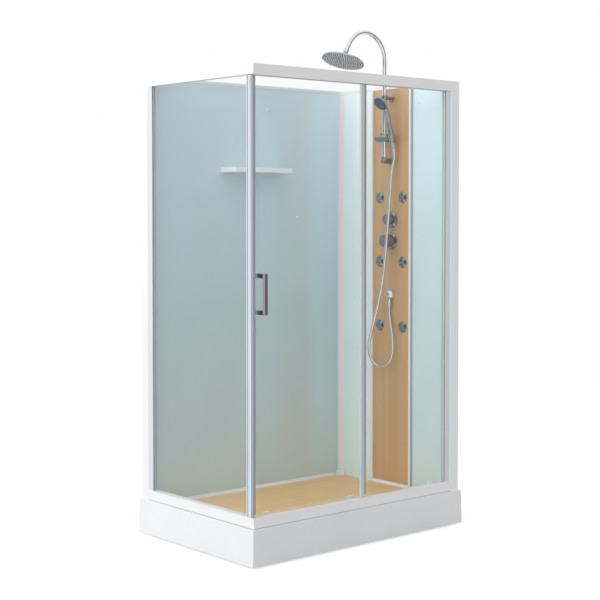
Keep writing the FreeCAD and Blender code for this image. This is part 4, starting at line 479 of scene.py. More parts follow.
# Greys that paint shade: on the side of the strip beside the column, and the shadow of the joint under the rails.
bead_vinyl = plain("bead_vinyl", (0.42, 0.48, 0.55), 0.4, 300.0, 0.00002)
rail_sealant = plain("rail_sealant", (0.46, 0.47, 0.49), 0.55, 300.0, 0.00002)
# Dark lip: partly its own colour, partly painted shade of the gap at the door.
lip_with_painted_shade = plain("clear_lip", (0.33, 0.37, 0.46), 0.22, 200.0, 0.00002, Coat_Weight=0.5)
plate_plastic = plain("rain_plate", (0.2, 0.205, 0.21), 0.3, 300.0, 0.00002)
tip_rubber = plain("rain_tip", (0.74, 0.75, 0.76), 0.5, 400.0, 0.00002)
spray_plastic = plain("spray_face", (0.07, 0.095, 0.14), 0.3, 300.0, 0.00002, Coat_Weight=0.3)
nozzle_rubber = plain("nozzle_rubber", (0.32, 0.36, 0.42), 0.5, 400.0, 0.00002)
pipe_plastic = plain("grey_pipe", (0.3, 0.31, 0.32), 0.4, 250.0, 0.00003)
print("rubbers and plastics ready, from", rubber.name, "to", pipe_plastic.name)

# %% [markdown]
# ## Helpers for shapes
# Most fittings are turned parts, so the main helper spins a profile about an axis. A profile is
# a short list of (distance, radius, rounding), and each corner is rounded with its own arc. A
# Screw modifier could turn a profile too, but points worked out here can also get flutes or a
# gap. The other helpers sweep a tube along a path, make a block, and ease the edges of a packed
# piece by bevelling a copy of its mesh.

# %% Round the corners of a profile
ARC_STEPS = 5
LEAST_ARC = 0.00001
LONGEST_CUT = 0.49


def rounded(points):
    """A profile's corners as arcs; a point is (along, radius) or (along, radius, rounding)."""
    flat = [Vector(p[:2]) for p in points]
    line = [flat[0]]
    for i in range(1, len(points) - 1):
        rounding = points[i][2] if len(points[i]) > 2 else 0
        before, here, after = flat[i - 1], flat[i], flat[i + 1]
        into, out = (before - here), (after - here)
        half = into.angle(out) / 2
        room = LONGEST_CUT * min(into.length, out.length)
        reach = min(rounding / tan(half), room) if rounding else 0
        if reach < LEAST_ARC:
            line.append(here)
            continue
        into.normalize()
        out.normalize()
        radius = reach * tan(half)
        centre = here + (into + out).normalized() * hypot(reach, radius)
        first, last = here + into * reach - centre, here + out * reach - centre
        turn = first.angle_signed(last)
        for step in range(ARC_STEPS + 1):
            share = step / ARC_STEPS
            spun = Matrix.Rotation(-turn * share, 2) @ first
            line.append(centre + spun)
    line.append(flat[-1])
    return line


print("one rounded corner has", len(rounded([(0, 0), (0, 1, 0.2), (1, 1)])), "points")

# %% Turn a profile
ROUND_STEPS = 48
FLUTED = 0.93


def aim(origin, axis):
    """Turns +Z onto an axis and moves to a point."""
    turn = Vector((0, 0, 1)).rotation_difference(Vector(axis)).to_matrix().to_4x4()
    return Matrix.Translation(Vector(origin)) @ turn


def bridge(bm, first, second, closed=True):
    """Faces between two rows of vertices."""
    count = len(first)
    for i in range(count if closed else count - 1):
        j = (i + 1) % count
        bm.faces.new((first[i], first[j], second[j], second[i]))


def spin(bm, points, place, steps=ROUND_STEPS, closed=False, gap=0.0, flutes=None):
    """A turned part. A closed profile makes a ring; a gap leaves it open round -X of its place.

    Flutes are (count, depth) of the grooves that are cut into its widest band.
    """
    line = rounded(points)
    widest = max(radius for along, radius in line)
    rows = []
    for along, radius in line:
        row = []
        for i in range(steps + 1 if gap else steps):
            turn = gap - pi + (2 * pi - 2 * gap) * i / steps
            here = radius
            if flutes and radius > FLUTED * widest:
                count, depth = flutes
                here = radius - depth * (0.5 + 0.5 * cos(count * turn)) ** 3
            row.append(bm.verts.new(place @ Vector((here * cos(turn), here * sin(turn), along))))
        rows.append(row)
    for first, second in zip(rows, rows[1:]):
        bridge(bm, first, second, not gap)
    if closed:
        bridge(bm, rows[-1], rows[0], not gap)
    if gap:
        bm.faces.new([row[0] for row in rows])
        bm.faces.new([row[-1] for row in rows])


sample = bmesh.new()
spin(sample, [(0, 0), (0, 1, 0.2), (1, 1), (1, 0)], Matrix())
print("a turned puck has", len(sample.faces), "faces")
sample.free()

# %% Sweep a tube and make a block


def sweep(bm, path, radii, steps=ROUND_STEPS):
    """A round tube along a list of points, with a radius at each and flat ends."""
    side = Vector((0, 1, 0))
    rows = []
    for i, point in enumerate(path):
        heading = (path[min(i + 1, len(path) - 1)] - path[max(i - 1, 0)]).normalized()
        side = (side - heading * side.dot(heading)).normalized()
        up = heading.cross(side)
        rows.append([
            bm.verts.new(point + (side * cos(2 * pi * k / steps) + up * sin(2 * pi * k / steps)) * radii[i])
            for k in range(steps)])
    for first, second in zip(rows, rows[1:]):
        bridge(bm, first, second)
    bm.faces.new(rows[0])
    bm.faces.new(rows[-1])


def block(bm, low, high):
    """A block between two corners."""
    low, high = Vector(low), Vector(high)
    shape = Matrix.Translation((low + high) / 2) @ Matrix.Diagonal((*(high - low), 1))
    bmesh.ops.create_cube(bm, size=1, matrix=shape)


sample = bmesh.new()
sweep(sample, [Vector((0, 0, z)) for z in range(3)], [1, 1, 1], 8)
print("a short swept tube has", len(sample.faces), "faces")
sample.free()

# %% [markdown]
# ## Helpers for finished pieces
# Every piece ends the same way. Its doubles are merged, its faces are turned outward, and edges
# sharper than 38 degrees are kept crisp. A wide flat face beside a narrow bevel would shade as
# if it were curved, so a Weighted Normal modifier lets the wide face decide, and its result is
# baked into the mesh. Then the piece rides on its body, and the packed node it stands for hides.

# %% Clean a shape and make it an object
MERGE = 0.000002


def clean(bm):
    """Merges doubles and turns the faces outward; gives the same shape back."""
    bmesh.ops.remove_doubles(bm, verts=bm.verts, dist=MERGE)
    bmesh.ops.recalc_face_normals(bm, faces=bm.faces)
    return bm


def as_object(bm, name):
    """Hands a shape over to a new object of the scene."""
    mesh = bpy.data.meshes.new(name)
    bm.to_mesh(mesh)
    bm.free()
    made = bpy.data.objects.new(name, mesh)
    scene.collection.objects.link(made)
    return made


print("doubles closer than", MERGE * 1000, "mm are merged")

# %% Finish a piece
SHARP = radians(38)
NORMAL_WEIGHT = 80


def even_normals(piece):
    """Lets wide faces set the shading at their corners, so that flats look flat."""
    weigh = piece.modifiers.new("even_normals", "WEIGHTED_NORMAL")
    weigh.keep_sharp = True
    weigh.weight = NORMAL_WEIGHT
    ready = piece.evaluated_get(bpy.context.evaluated_depsgraph_get())
    shaded = bpy.data.meshes.new_from_object(ready)
    piece.modifiers.clear()
    plain_mesh = piece.data
    piece.data = shaded
    bpy.data.meshes.remove(plain_mesh)
    shaded.name = piece.name


def finish_piece(bm, name, material, body, replaced, slot, extra=()):
    """Cleans a shape, keeps its crisp edges crisp, and hands the piece to its body."""
    clean(bm)
    for face in bm.faces:
        face.smooth = True
    for edge in bm.edges:
        edge.smooth = len(edge.link_faces) == 2 and edge.calc_face_angle(0) < SHARP
    piece = as_object(bm, name)
    for item in (material, *extra):
        piece.data.materials.append(item)
    even_normals(piece)
    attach(piece, body)
    if replaced:
        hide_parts(*replaced)
    print(name, len(piece.data.polygons), "faces on", body)


# %% Ease the edges of a packed piece
WELD = 0.00001
FLAT = radians(0.5)
CORNER = radians(30)
PANE_SHARE = 0.2


def eased(node, width, material, slot, segments=2, edge_material=None):
    """A packed piece with its sharp edges eased: a merged copy of its mesh, bevelled."""
    bm = bmesh.new()
    bm.from_mesh(nodes[node].data)
    bmesh.ops.remove_doubles(bm, verts=bm.verts, dist=WELD)
    bmesh.ops.dissolve_limit(bm, angle_limit=FLAT, verts=bm.verts, edges=bm.edges)
    bmesh.ops.recalc_face_normals(bm, faces=bm.faces)
    sharp = [e for e in bm.edges if len(e.link_faces) == 2 and e.calc_face_angle(0) > CORNER]
    bmesh.ops.bevel(
        bm, geom=sharp, offset=width, segments=segments, profile=0.5, affect="EDGES", clamp_overlap=True)
    if edge_material:
        wide = max(f.calc_area() for f in bm.faces)
        for face in bm.faces:
            face.material_index = 0 if face.calc_area() > wide * PANE_SHARE else 1
    extra = (edge_material,) if edge_material else ()
    finish_piece(bm, f"{node}_dressed", material, body_of_node(node), [node], slot, extra=extra)


print("edges that turn more than", round(CORNER * 180 / pi), "degrees are eased")

# %% [markdown]
# ## The hose
# The hand shower hangs on 1.4 m of metal hose, which falls from its handle, swings past the
# column and comes up again into the wall outlet. A simulation could hang it, but the photo shows
# where it lies, so its route is a smooth NURBS line that a few chosen points pull into shape.
# The hose itself is a skin of folded metal strip, so a tube with fine ribs follows that line. A
# node tree could repeat the ribs, but the hose has to be cut in three lengths that meet ring on
# ring, so its rings are worked out one by one. The first 22 mm join the hand shower to the
# holder, the next 30 mm the holder to the slider, and the long rest the slider to the outlet.

# %% Lay the route of the hose
HOSE_RADIUS = 0.007
HOSE_ROUTE = (
    (0.4981, -0.065, 1.6995), (0.5073, -0.065, 1.6626), (0.491, -0.0575, 1.596),
    (0.4805, -0.0585, 1.468), (0.4675, -0.053, 1.300), (0.467, -0.033, 1.118),
    (0.468, 0.001, 0.988), (0.4705, 0.038, 0.885), (0.4725, 0.070, 0.800),
    (0.477, 0.076, 0.737), (0.483, 0.044, 0.692), (0.488, -0.007, 0.677),
    (0.494, -0.047, 0.706), (0.502, -0.061, 0.766), (0.509, -0.047, 0.843),
    (0.515, -0.020, 0.918), (0.515, -0.020, 0.972),
)

route = bpy.data.curves.new("hose_route", "CURVE")
route.dimensions = "3D"
route.resolution_u = 24
line = route.splines.new("NURBS")
line.points.add(len(HOSE_ROUTE) - 1)
for point, place in zip(line.points, HOSE_ROUTE):
    point.co = (*place, 1.0)
line.order_u = 3
line.use_endpoint_u = True
route_object = bpy.data.objects.new("hose_route", route)
scene.collection.objects.link(route_object)
route_mesh = bpy.data.meshes.new_from_object(route_object)
hose_line = [v.co.copy() for v in route_mesh.vertices]
bpy.data.objects.remove(route_object)
hose_length = sum((b - a).length for a, b in zip(hose_line, hose_line[1:]))
print("hose line", len(hose_line), "points,", round(hose_length, 3), "m long")

# %% Space the ribs of the hose
RIB_PITCH = 0.0032
RIB_DEPTH = 0.0006


def along_line(points, distances):
    """Points at given distances along a line of points."""
    found, travelled, i = [], 0.0, 0
    for distance in distances:
        while i < len(points) - 2 and travelled + (points[i + 1] - points[i]).length < distance:
            travelled += (points[i + 1] - points[i]).length
            i += 1
        span = (points[i + 1] - points[i]).length
        found.append(points[i].lerp(points[i + 1], min(1.0, (distance - travelled) / span)))
    return found


ribs = int(hose_length / RIB_PITCH)
half_ribs = 2 * ribs
rings = along_line(hose_line, [hose_length * i / half_ribs for i in range(half_ribs + 1)])
hose_radii = [HOSE_RADIUS - (RIB_DEPTH if i % 2 else 0.0) for i in range(half_ribs + 1)]
print(ribs, "ribs,", len(rings), "rings of points")

# %% Skin the three lengths of hose
HOSE_SIDES = 14
HOSE_END = 0.022
HOSE_BEND = 0.052

cuts = [0, *(round(reach / hose_length * half_ribs) for reach in (HOSE_END, HOSE_BEND)), half_ribs]
lengths = (("hose_end", "handset", "holder"), ("hose_bend", "holder", "slide_block"),
           ("hose", "slide_block", "cabin"))
for (name, upper, lower), first, last in zip(lengths, cuts, cuts[1:]):
    bm = bmesh.new()
    sweep(bm, rings[first:last + 1], hose_radii[first:last + 1], HOSE_SIDES)
    for face in bm.faces:
        face.smooth = True
    piece = as_object(clean(bm), name)
    piece.data.materials.append(hose_metal)
    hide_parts("shower_hose")
    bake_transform(piece)
    print(name, "has", last - first + 1, "rings and", len(piece.data.polygons), "faces")

# %% [markdown]
# ## The riser
# One chrome tube climbs the column, bends through 150 degrees over the cabin and ends in a nut
# with a ball in it. A curve with a round bevel could draw it too. But a bend of constant radius
# is a short formula, so the path is worked out and a ring of points is swept along it, and the
# nut can start exactly where the path ends.

# %% Bend the riser
RISER_RADIUS = 0.011
BEND_RADIUS = 0.118
BEND_TURN = radians(150)
BEND_STEPS = 40
STRAIGHT_STEPS = 6
TAIL = 0.045

pipe_low, pipe_high = box["riser_pipe"]
riser_x = pipe_high.x - RISER_RADIUS
column_y = pivot("overhead_tilt").y
bend_z = pipe_high.z - RISER_RADIUS - BEND_RADIUS
bend_centre = Vector((riser_x - BEND_RADIUS, column_y, bend_z))
climb = bend_z - pipe_low.z
path = [Vector((riser_x, column_y, pipe_low.z + climb * i / STRAIGHT_STEPS)) for i in range(STRAIGHT_STEPS)]
for i in range(BEND_STEPS + 1):
    turn = BEND_TURN * i / BEND_STEPS
    path.append(bend_centre + BEND_RADIUS * Vector((cos(turn), 0, sin(turn))))
tail_heading = Vector((-sin(BEND_TURN), 0, cos(BEND_TURN)))
tail_end = path[-1] + tail_heading * TAIL
path.append(tail_end)
bm = bmesh.new()
sweep(bm, path, [RISER_RADIUS] * len(path))
print("riser path", len(path), "points, climbs", round(climb, 3), "m before its bend")

# %% End the riser in a nut and a ball
NUT = 0.0125
NUT_RINGS, NUT_RING_STEP = 3, 0.003
NUT_RING = NUT + 0.0004
BALL, BALL_STEPS = 0.009, 16
STEM = 0.0045

at_tail = aim(tail_end, tail_heading)
spin(bm, [(-0.014, 0), (-0.014, NUT, 0.001), (0.0, NUT, 0.001), (0.004, NUT - 0.002, 0.001), (0.004, 0)],
     at_tail)
for i in range(NUT_RINGS):
    back, front = -0.0118 + NUT_RING_STEP * i, -0.0104 + NUT_RING_STEP * i
    spin(bm, [(back, 0), (back, NUT_RING), (front, NUT_RING), (front, 0)], at_tail)
ball = pivot("overhead_tilt")
turns = [pi * i / BALL_STEPS for i in range(1, BALL_STEPS)]
arc = [(BALL - BALL * cos(turn), BALL * sin(turn)) for turn in turns]
spin(bm, [(0.0, 0)] + arc + [(2 * BALL, 0)], aim(ball - tail_heading * BALL, tail_heading), 32)
stem_length = (ball - tail_end).length
spin(bm, [(0.0, 0), (0.0, STEM), (stem_length, STEM), (stem_length, 0)], at_tail, 24)
finish_piece(bm, "riser", pipe_chrome, "cabin", ["riser_pipe"], "bright_metal")

# %% [markdown]
# ## The rain head
# The head is a pressed shell, thin at its rim and domed towards the ball joint, with a dark grey
# plate let into its underside. A disc could be extruded and scaled step by step. A profile keeps
# every radius in one list instead, so both are turned about the direction in which the head
# sprays.

# %% Turn the rain head
HEAD_FACING = (-0.309, -0.0332, -0.9505)
HEAD_RADIUS, HEAD_PLATE, HEAD_EDGE = 0.0975, 0.0925, 0.007
HEAD_RISE = 0.03
HEAD_SIDES = 96

spray = Vector(HEAD_FACING).normalized()
head_origin = ball + spray * HEAD_RISE
bm = bmesh.new()
spin(bm, [(-0.002, 0.0), (-0.002, HEAD_PLATE), (0.0, HEAD_PLATE + 0.0003, 0.0004),
          (0.0, HEAD_RADIUS - 0.001, 0.0008), (-0.0015, HEAD_RADIUS, 0.0008),
          (-HEAD_EDGE, HEAD_RADIUS, 0.003), (-0.0085, 0.0895, 0.01), (-0.0155, 0.045, 0.03),
          (-0.0185, 0.018, 0.004), (-0.026, 0.0145, 0.002), (-0.0335, 0.0135, 0.0015),
          (-0.034, 0.0125, 0.001), (-0.034, 0.0)],
     aim(head_origin, spray), HEAD_SIDES)
finish_piece(bm, "rain_shell", chrome, "overhead_shower", ["rain_head"], "bright_metal")
bm = bmesh.new()
spin(bm, [(-0.0019, 0), (-0.0019, HEAD_PLATE - 0.0002), (-0.0002, HEAD_PLATE - 0.0002, 0.0008),
          (-0.0002, 0.0)], aim(head_origin, spray), HEAD_SIDES)
finish_piece(bm, "rain_plate", plate_plastic, "overhead_shower", ["rain_head_face"], "spray_face")

# %% [markdown]
# ## Rings of nozzles
# Both showers and all six jets spray through soft rubber nozzles, which can be rubbed clean. They
# stand on rings, each ring with as many as its length holds. Every nozzle could be modelled where
# it stands, but Geometry Nodes can repeat one shape on any set of points. The tree takes the
# points, the shape and its material, and ends in Realize Instances and Set Material, so the
# result is one plain mesh.

# %% Build the nozzle tree


def nozzle_tree(name):
    """Stands a copy of one object on each point."""
    tree = bpy.data.node_groups.new(name, "GeometryNodeTree")
    for label, kind in (("Geometry", "NodeSocketGeometry"), ("Nozzle", "NodeSocketObject"),
                        ("Material", "NodeSocketMaterial")):
        tree.interface.new_socket(label, in_out="INPUT", socket_type=kind)
    tree.interface.new_socket("Geometry", in_out="OUTPUT", socket_type="NodeSocketGeometry")
    add = tree.nodes.new
    start, end = add("NodeGroupInput"), add("NodeGroupOutput")
    shape = add("GeometryNodeObjectInfo")
    scatter = add("GeometryNodeInstanceOnPoints")
    real = add("GeometryNodeRealizeInstances")
    paint = add("GeometryNodeSetMaterial")
    for source, out, target, socket in (
            (start, "Nozzle", shape, "Object"), (start, "Geometry", scatter, "Points"),
            (shape, "Geometry", scatter, "Instance"), (scatter, "Instances", real, "Geometry"),
            (real, "Geometry", paint, "Geometry"), (start, "Material", paint, "Material"),
            (paint, "Geometry", end, "Geometry")):
        tree.links.new(source.outputs[out], target.inputs[socket])
    return tree


tree = nozzle_tree("nozzles")
sockets = {item.name: item.identifier for item in tree.interface.items_tree if item.in_out == "INPUT"}
print("nozzle tree with inputs", list(sockets))

# %% Lay rings of points


def ring_points(origin, axis, rings, pitch):
    """Loose points on rings round a middle one; every other ring is turned by half a step."""
    place = aim(origin, axis)
    points = bmesh.new()
    for ring in range(rings + 1):
        radius = ring * pitch
        count = max(1, round(2 * pi * radius / pitch))
        for i in range(count):
            turn = 2 * pi * (i + 0.5 * (ring % 2)) / count
            points.verts.new(place @ Vector((radius * cos(turn), radius * sin(turn), 0)))
    return points


sample = ring_points((0, 0, 0), (0, 0, 1), 2, 1.0)
print("two rings round a middle point hold", len(sample.verts), "points")
sample.free()

# %% Stand nozzles on the rings
NOZZLE_ROOT = 0.0005
NOZZLE_SIDES = 10


def nozzle_shape(name, radius, height, axis):
    """One nozzle that narrows towards its tip and points along an axis."""
    bm = bmesh.new()
    spin(bm, [(-NOZZLE_ROOT, 0), (-NOZZLE_ROOT, radius), (height * 0.6, radius * 0.85),
              (height, radius * 0.5), (height, 0)], Matrix(), NOZZLE_SIDES)
    shape = as_object(clean(bm), name)
    shape.data.transform(aim((0, 0, 0), axis))
    return shape


def nozzles(name, origin, axis, rings, pitch, radius, height, material, body):
    """Nozzles on rings, made one plain mesh that rides on a body."""
    holder = as_object(ring_points(origin, axis, rings, pitch), f"{name}_points")
    shape = nozzle_shape(f"{name}_shape", radius, height, axis)
    modifier = holder.modifiers.new("nozzles", "NODES")
    modifier.node_group = tree
    modifier[sockets["Nozzle"]] = shape
    modifier[sockets["Material"]] = material
    ready = holder.evaluated_get(bpy.context.evaluated_depsgraph_get())
    result = bpy.data.meshes.new_from_object(ready)
    bpy.data.objects.remove(holder)
    bpy.data.objects.remove(shape)
    piece = bpy.data.objects.new(name, result)
    scene.collection.objects.link(piece)
    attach(piece, body)
    print(name, len(result.polygons), "faces on", body)


nozzles("rain_nozzles", head_origin - spray * 0.0002, spray, 8, 0.0108, 0.0037, 0.0024, tip_rubber,
        "overhead_shower")

# %% [markdown]
# ## The slider and its holder
# The slider is a chrome barrel that clamps on the riser, with a fluted knob at one end and a push
# button on top. A tapered clip, open towards the user, holds the hand shower. The barrel needs a
# real bore for the riser. It could be built round the bore face by face, but a cutter that is
# taken away from it with a Boolean is exact and short.

# %% A cutter for bores


def carve(body_bm, cutter_bm):
    """The first shape with the second taken away, as a new shape."""
    kept, cutter = as_object(clean(body_bm), "kept"), as_object(clean(cutter_bm), "cutter")
    modifier = kept.modifiers.new("bore", "BOOLEAN")
    modifier.operation = "DIFFERENCE"
    modifier.solver = "EXACT"
    modifier.object = cutter
    mesh = bpy.data.meshes.new_from_object(kept.evaluated_get(bpy.context.evaluated_depsgraph_get()))
    result = bmesh.new()
    result.from_mesh(mesh)
    bpy.data.objects.remove(kept)
    bpy.data.objects.remove(cutter)
    return result


print("bores can be cut")

# %% Make the slider
BARREL, BARREL_SIDES = 0.018, 64
BORE, HALF_BORE = RISER_RADIUS + 0.0002, 0.03
KNOB_RADIUS, KNOB_LENGTH, KNOB_SIDES = 0.015, 0.013, 120
KNOB_FLUTES = (20, 0.0007)

slider_z = pivot("holder_tilt").z
slider_low, slider_high = box["slider"]
barrel_start = slider_low.y
barrel_end = slider_high.y - KNOB_LENGTH
length = barrel_end - barrel_start
along_y = Vector((0, 1, 0))
up = Vector((0, 0, 1))
barrel = bmesh.new()
spin(barrel, [(0, 0), (0, BARREL, 0.002), (length, BARREL, 0.002), (length, 0)],
     aim((riser_x, barrel_start, slider_z), along_y), BARREL_SIDES)
bore = bmesh.new()
spin(bore, [(-HALF_BORE, 0), (-HALF_BORE, BORE), (HALF_BORE, BORE), (HALF_BORE, 0)],
     aim((riser_x, column_y, slider_z), up))
bm = carve(barrel, bore)
spin(bm, [(0.0003, 0), (0.0003, 0.013), (0.002, 0.013), (0.002, KNOB_RADIUS, 0.001),
          (KNOB_LENGTH, KNOB_RADIUS, 0.002), (KNOB_LENGTH, 0)],
     aim((riser_x, barrel_end, slider_z), along_y), KNOB_SIDES, flutes=KNOB_FLUTES)
finish_piece(bm, "slider_barrel", chrome_painted_shade, "slide_block", ["slider"], "bright_metal")

# %% Make the push button
BUTTON, BUTTON_SIDES = 0.004, 24
BUTTON_OFFSET = 0.02

button_height = slider_high.z - slider_z - BARREL
bm = bmesh.new()
spin(bm, [(-0.002, 0), (-0.002, BUTTON), (button_height, BUTTON, 0.0015), (button_height, 0)],
     aim((riser_x, column_y + BUTTON_OFFSET, slider_z + BARREL), up), BUTTON_SIDES)
finish_piece(bm, "slider_button", rubber, "slide_block", [], "black_rubber")

# %% Make the holder
LEAN = radians(14)
CLIP_OFFSET = Vector((0.004, -0.005, 0))
HALF_CLIP, CLIP_GAP = 0.018, radians(38)
BOSS = 0.015

holder_centre = pivot("holder_tilt") + CLIP_OFFSET
leaning = Matrix.Translation(holder_centre) @ Matrix.Rotation(-LEAN, 4, "Y")
bm = bmesh.new()
spin(bm, [(0.0, 0.0112), (-HALF_CLIP, 0.0102, 0.0004), (-HALF_CLIP, 0.0135, 0.001),
          (HALF_CLIP, 0.0155, 0.001), (HALF_CLIP, 0.0121, 0.0006), (0.0001, 0.0112)],
     leaning, closed=True, gap=CLIP_GAP)
spin(bm, [(0.0, 0), (0.0, BOSS, 0.0008), (0.006, BOSS, 0.0015), (0.0075, 0.011), (0.0075, 0)],
     aim((riser_x, barrel_start - 0.0002, slider_z), (0, -1, 0)))
finish_piece(bm, "handset_clip", chrome_painted_shade, "holder", ["handset_holder"], "bright_metal")

# %% [markdown]
# ## The hand shower
# The handle is one flowing tube: it tapers where it sits in the clip, thins to a waist and
# swells into the back of the head. It could be modelled as a box with a Subdivision Surface, but
# a sweep with a radius at each point of its path is easier to measure. The head is turned, its
# plate is dark blue-grey, and the nozzles come from the same tree as those of the rain head.

# %% Sweep the handle
HANDLE_PATH = (
    (0.0, -0.024, 0.0093), (0.0, 0.018, 0.0117), (0.0, 0.045, 0.0101), (0.0, 0.072, 0.0096),
    (0.0, 0.1, 0.0102), (-0.0031, 0.1227, 0.0103), (-0.0062, 0.1373, 0.0106),
    (-0.0094, 0.152, 0.0105), (-0.0114, 0.1618, 0.0095),
)


def smooth_path(points, steps=6):
    """Points on a smooth line that passes through the given ones, which may be of any size."""
    line = []
    for i in range(len(points) - 1):
        a, b = points[max(i - 1, 0)], points[i]
        c, d = points[i + 1], points[min(i + 2, len(points) - 1)]
        for step in range(steps):
            t = step / steps
            line.append(0.5 * (2 * b + (c - a) * t + (2 * a - 5 * b + 4 * c - d) * t * t
                               + (3 * b - a - 3 * c + d) * t ** 3))
    line.append(points[-1])
    return line


handle = smooth_path([Vector(p) for p in HANDLE_PATH])
bm = bmesh.new()
sweep(bm, [leaning @ Vector((x, 0, z)) for x, z, radius in handle], [radius for x, z, radius in handle])
print("handle swept over", len(handle), "points")

# %% Add the head, its plate and its nozzles
FACE = Vector((-0.0349, 0, 0.1659))
FACE_TURN = radians(64)
SPRAY, SPRAY_SIDES = 0.036, 80

face_place = leaning @ Matrix.Translation(FACE) @ Matrix.Rotation(FACE_TURN, 4, "Y")
spin(bm, [(0.002, 0), (0.002, 0.0312), (0.0, 0.0318, 0.0004), (0.0, SPRAY, 0.0012), (0.007, SPRAY, 0.004),
          (0.0125, 0.029, 0.008), (0.0165, 0.014, 0.006), (0.017, 0.0)], face_place, SPRAY_SIDES)
finish_piece(bm, "handset_shell", chrome_painted_shade, "handset", ["hand_shower"], "bright_metal")
bm = bmesh.new()
spin(bm, [(0.0019, 0), (0.0019, 0.031), (0.0006, 0.031, 0.0005), (0.0004, 0.023, 0.001),
          (0.0010, 0.0215, 0.001), (0.0010, 0.0)], face_place, SPRAY_SIDES)
finish_piece(bm, "handset_plate", spray_plastic, "handset", [], "spray_face")
face_out = (face_place.to_3x3() @ Vector((0, 0, -1))).normalized()
nozzles("handset_nozzles", face_place @ Vector((0, 0, 0.0008)), face_out, 6, 0.0046, 0.0009, 0.001,
        nozzle_rubber, "handset")

# %% Add the nut of the hose
HOSE_NUT, HOSE_NUT_FLUTES = 0.009, (16, 0.0005)

bm = bmesh.new()
spin(bm, [(-0.05, 0), (-0.05, 0.0082, 0.0006), (-0.047, HOSE_NUT, 0.001), (-0.031, HOSE_NUT, 0.001),
          (-0.0265, 0.0082, 0.001), (-0.0242, 0.0082), (-0.0242, 0)], leaning, 96, flutes=HOSE_NUT_FLUTES)
finish_piece(bm, "handset_nut", chrome, "handset", [], "bright_metal")

# %% [markdown]
# ## What holds the riser and the hose
# Water comes out of the wall by an elbow at the foot of the riser, and a clamp holds its top. The
# hose starts at a domed outlet with a spigot and a fluted nut. The packed meshes could be
# smoothed, but their small radii are only a few flats each. The real ones are turned brass under
# chrome, so they are spun afresh, each about its own axis.

# %% Hold the riser
FLANGE, FLANGE_DEPTH = 0.017, 0.006
ELBOW, SOCKET, SOCKET_HEIGHT = 0.0125, 0.0135, 0.0185
RING, HALF_RING = 0.015, 0.011

wall_x = box["column_panel"][0].x
out = Vector((-1, 0, 0))
bracket_low, bracket_high = box["riser_brackets"]
elbow_z = bracket_low.z + FLANGE
clamp_z = bracket_high.z - FLANGE
reach = wall_x - riser_x
bm = bmesh.new()
spin(bm, [(-0.018, 0), (-0.018, 0.008), (0, 0.008), (0, FLANGE, 0.0008), (FLANGE_DEPTH, FLANGE, 0.002),
          (FLANGE_DEPTH + 0.001, ELBOW, 0.001), (reach + ELBOW, ELBOW, 0.003), (reach + ELBOW, 0)],
     aim((wall_x, column_y, elbow_z), out))
spin(bm, [(0.0, 0), (0.0, SOCKET), (SOCKET_HEIGHT, SOCKET, 0.0012), (SOCKET_HEIGHT, RISER_RADIUS)],
     aim((riser_x, column_y, elbow_z), up))
spin(bm, [(0, 0), (0, FLANGE, 0.0008), (FLANGE_DEPTH, FLANGE, 0.002), (FLANGE_DEPTH + 0.001, 0.007, 0.001),
          (reach - 0.0125, 0.007), (reach - 0.0125, 0)], aim((wall_x, column_y, clamp_z), out))
spin(bm, [(0, RISER_RADIUS), (-HALF_RING, RISER_RADIUS), (-HALF_RING, RING, 0.0015),
          (HALF_RING, RING, 0.0015), (HALF_RING, RISER_RADIUS), (0.0001, RISER_RADIUS)],
     aim((riser_x, column_y, clamp_z), up), closed=True)
finish_piece(bm, "riser_holders", chrome_painted_shade, "cabin", ["riser_brackets"], "bright_metal")

# %% Make the wall outlet
DOME, DOME_RIM = 0.0255, 0.008
SPIGOT = 0.0095
OUTLET_NUT, OUTLET_NUT_FLUTES = 0.0115, (12, 0.0009)

outlet_z = box["outlet_elbow"][1].z - DOME
spigot_x, nut_low = HOSE_ROUTE[-1][0], HOSE_ROUTE[-1][2]
dome_line = [(DOME_RIM + DOME * sin(i * pi / 24), DOME * cos(i * pi / 24)) for i in range(12)]
bm = bmesh.new()
spin(bm, [(-0.017, 0), (-0.017, 0.008), (0, 0.008), (0, DOME, 0.001)] + dome_line + [(DOME_RIM + DOME, 0)],
     aim((wall_x, column_y, outlet_z), out), 64)
spin(bm, [(0.0, 0), (0.0, SPIGOT), (-0.037, SPIGOT), (-0.037, 0)], aim((spigot_x, column_y, outlet_z), up))
spin(bm, [(0.0, 0), (0.0, SPIGOT, 0.0005), (0.002, OUTLET_NUT, 0.001), (0.011, OUTLET_NUT, 0.001),
          (0.0135, 0.0098, 0.0005), (0.0135, 0)],
     aim((spigot_x, column_y, nut_low), up), 96, flutes=OUTLET_NUT_FLUTES)
finish_piece(bm, "hose_outlet", pipe_chrome, "cabin", ["outlet_elbow"], "bright_metal")

# %% [markdown]
# ## Knobs and jets
# The upper knob chooses the outlet and the lower one, with its lever, sets the warmth. Each turns
# on a fixed plate. Below and above them sit six jets, whose ball nozzles tip in their seats. A
# sphere and a cylinder could be cut and joined for each, but a profile holds the rim, the lip and
# the flat of the ball in one line. The six jets are alike, so one loop makes them, and each ball
# is a piece of its own because it moves.

# %% Turn the plates
PLATE, PLATE_TOP, PLATE_DEPTH = 0.0405, 0.029, 0.009

bm = bmesh.new()
for joint in ("mixer_turn", "diverter_turn"):
    spin(bm, [(0.004, 0.008), (0, 0.008), (0, PLATE, 0.001), (0.003, PLATE, 0.002),
              (PLATE_DEPTH, PLATE_TOP, 0.004), (PLATE_DEPTH, 0.008), (0.0041, 0.008)],
         aim((wall_x, column_y, pivot(joint).z), out), 72, True)
finish_piece(bm, "knob_plates", chrome_painted_shade, "cabin", ["valve_plates"], "bright_metal")

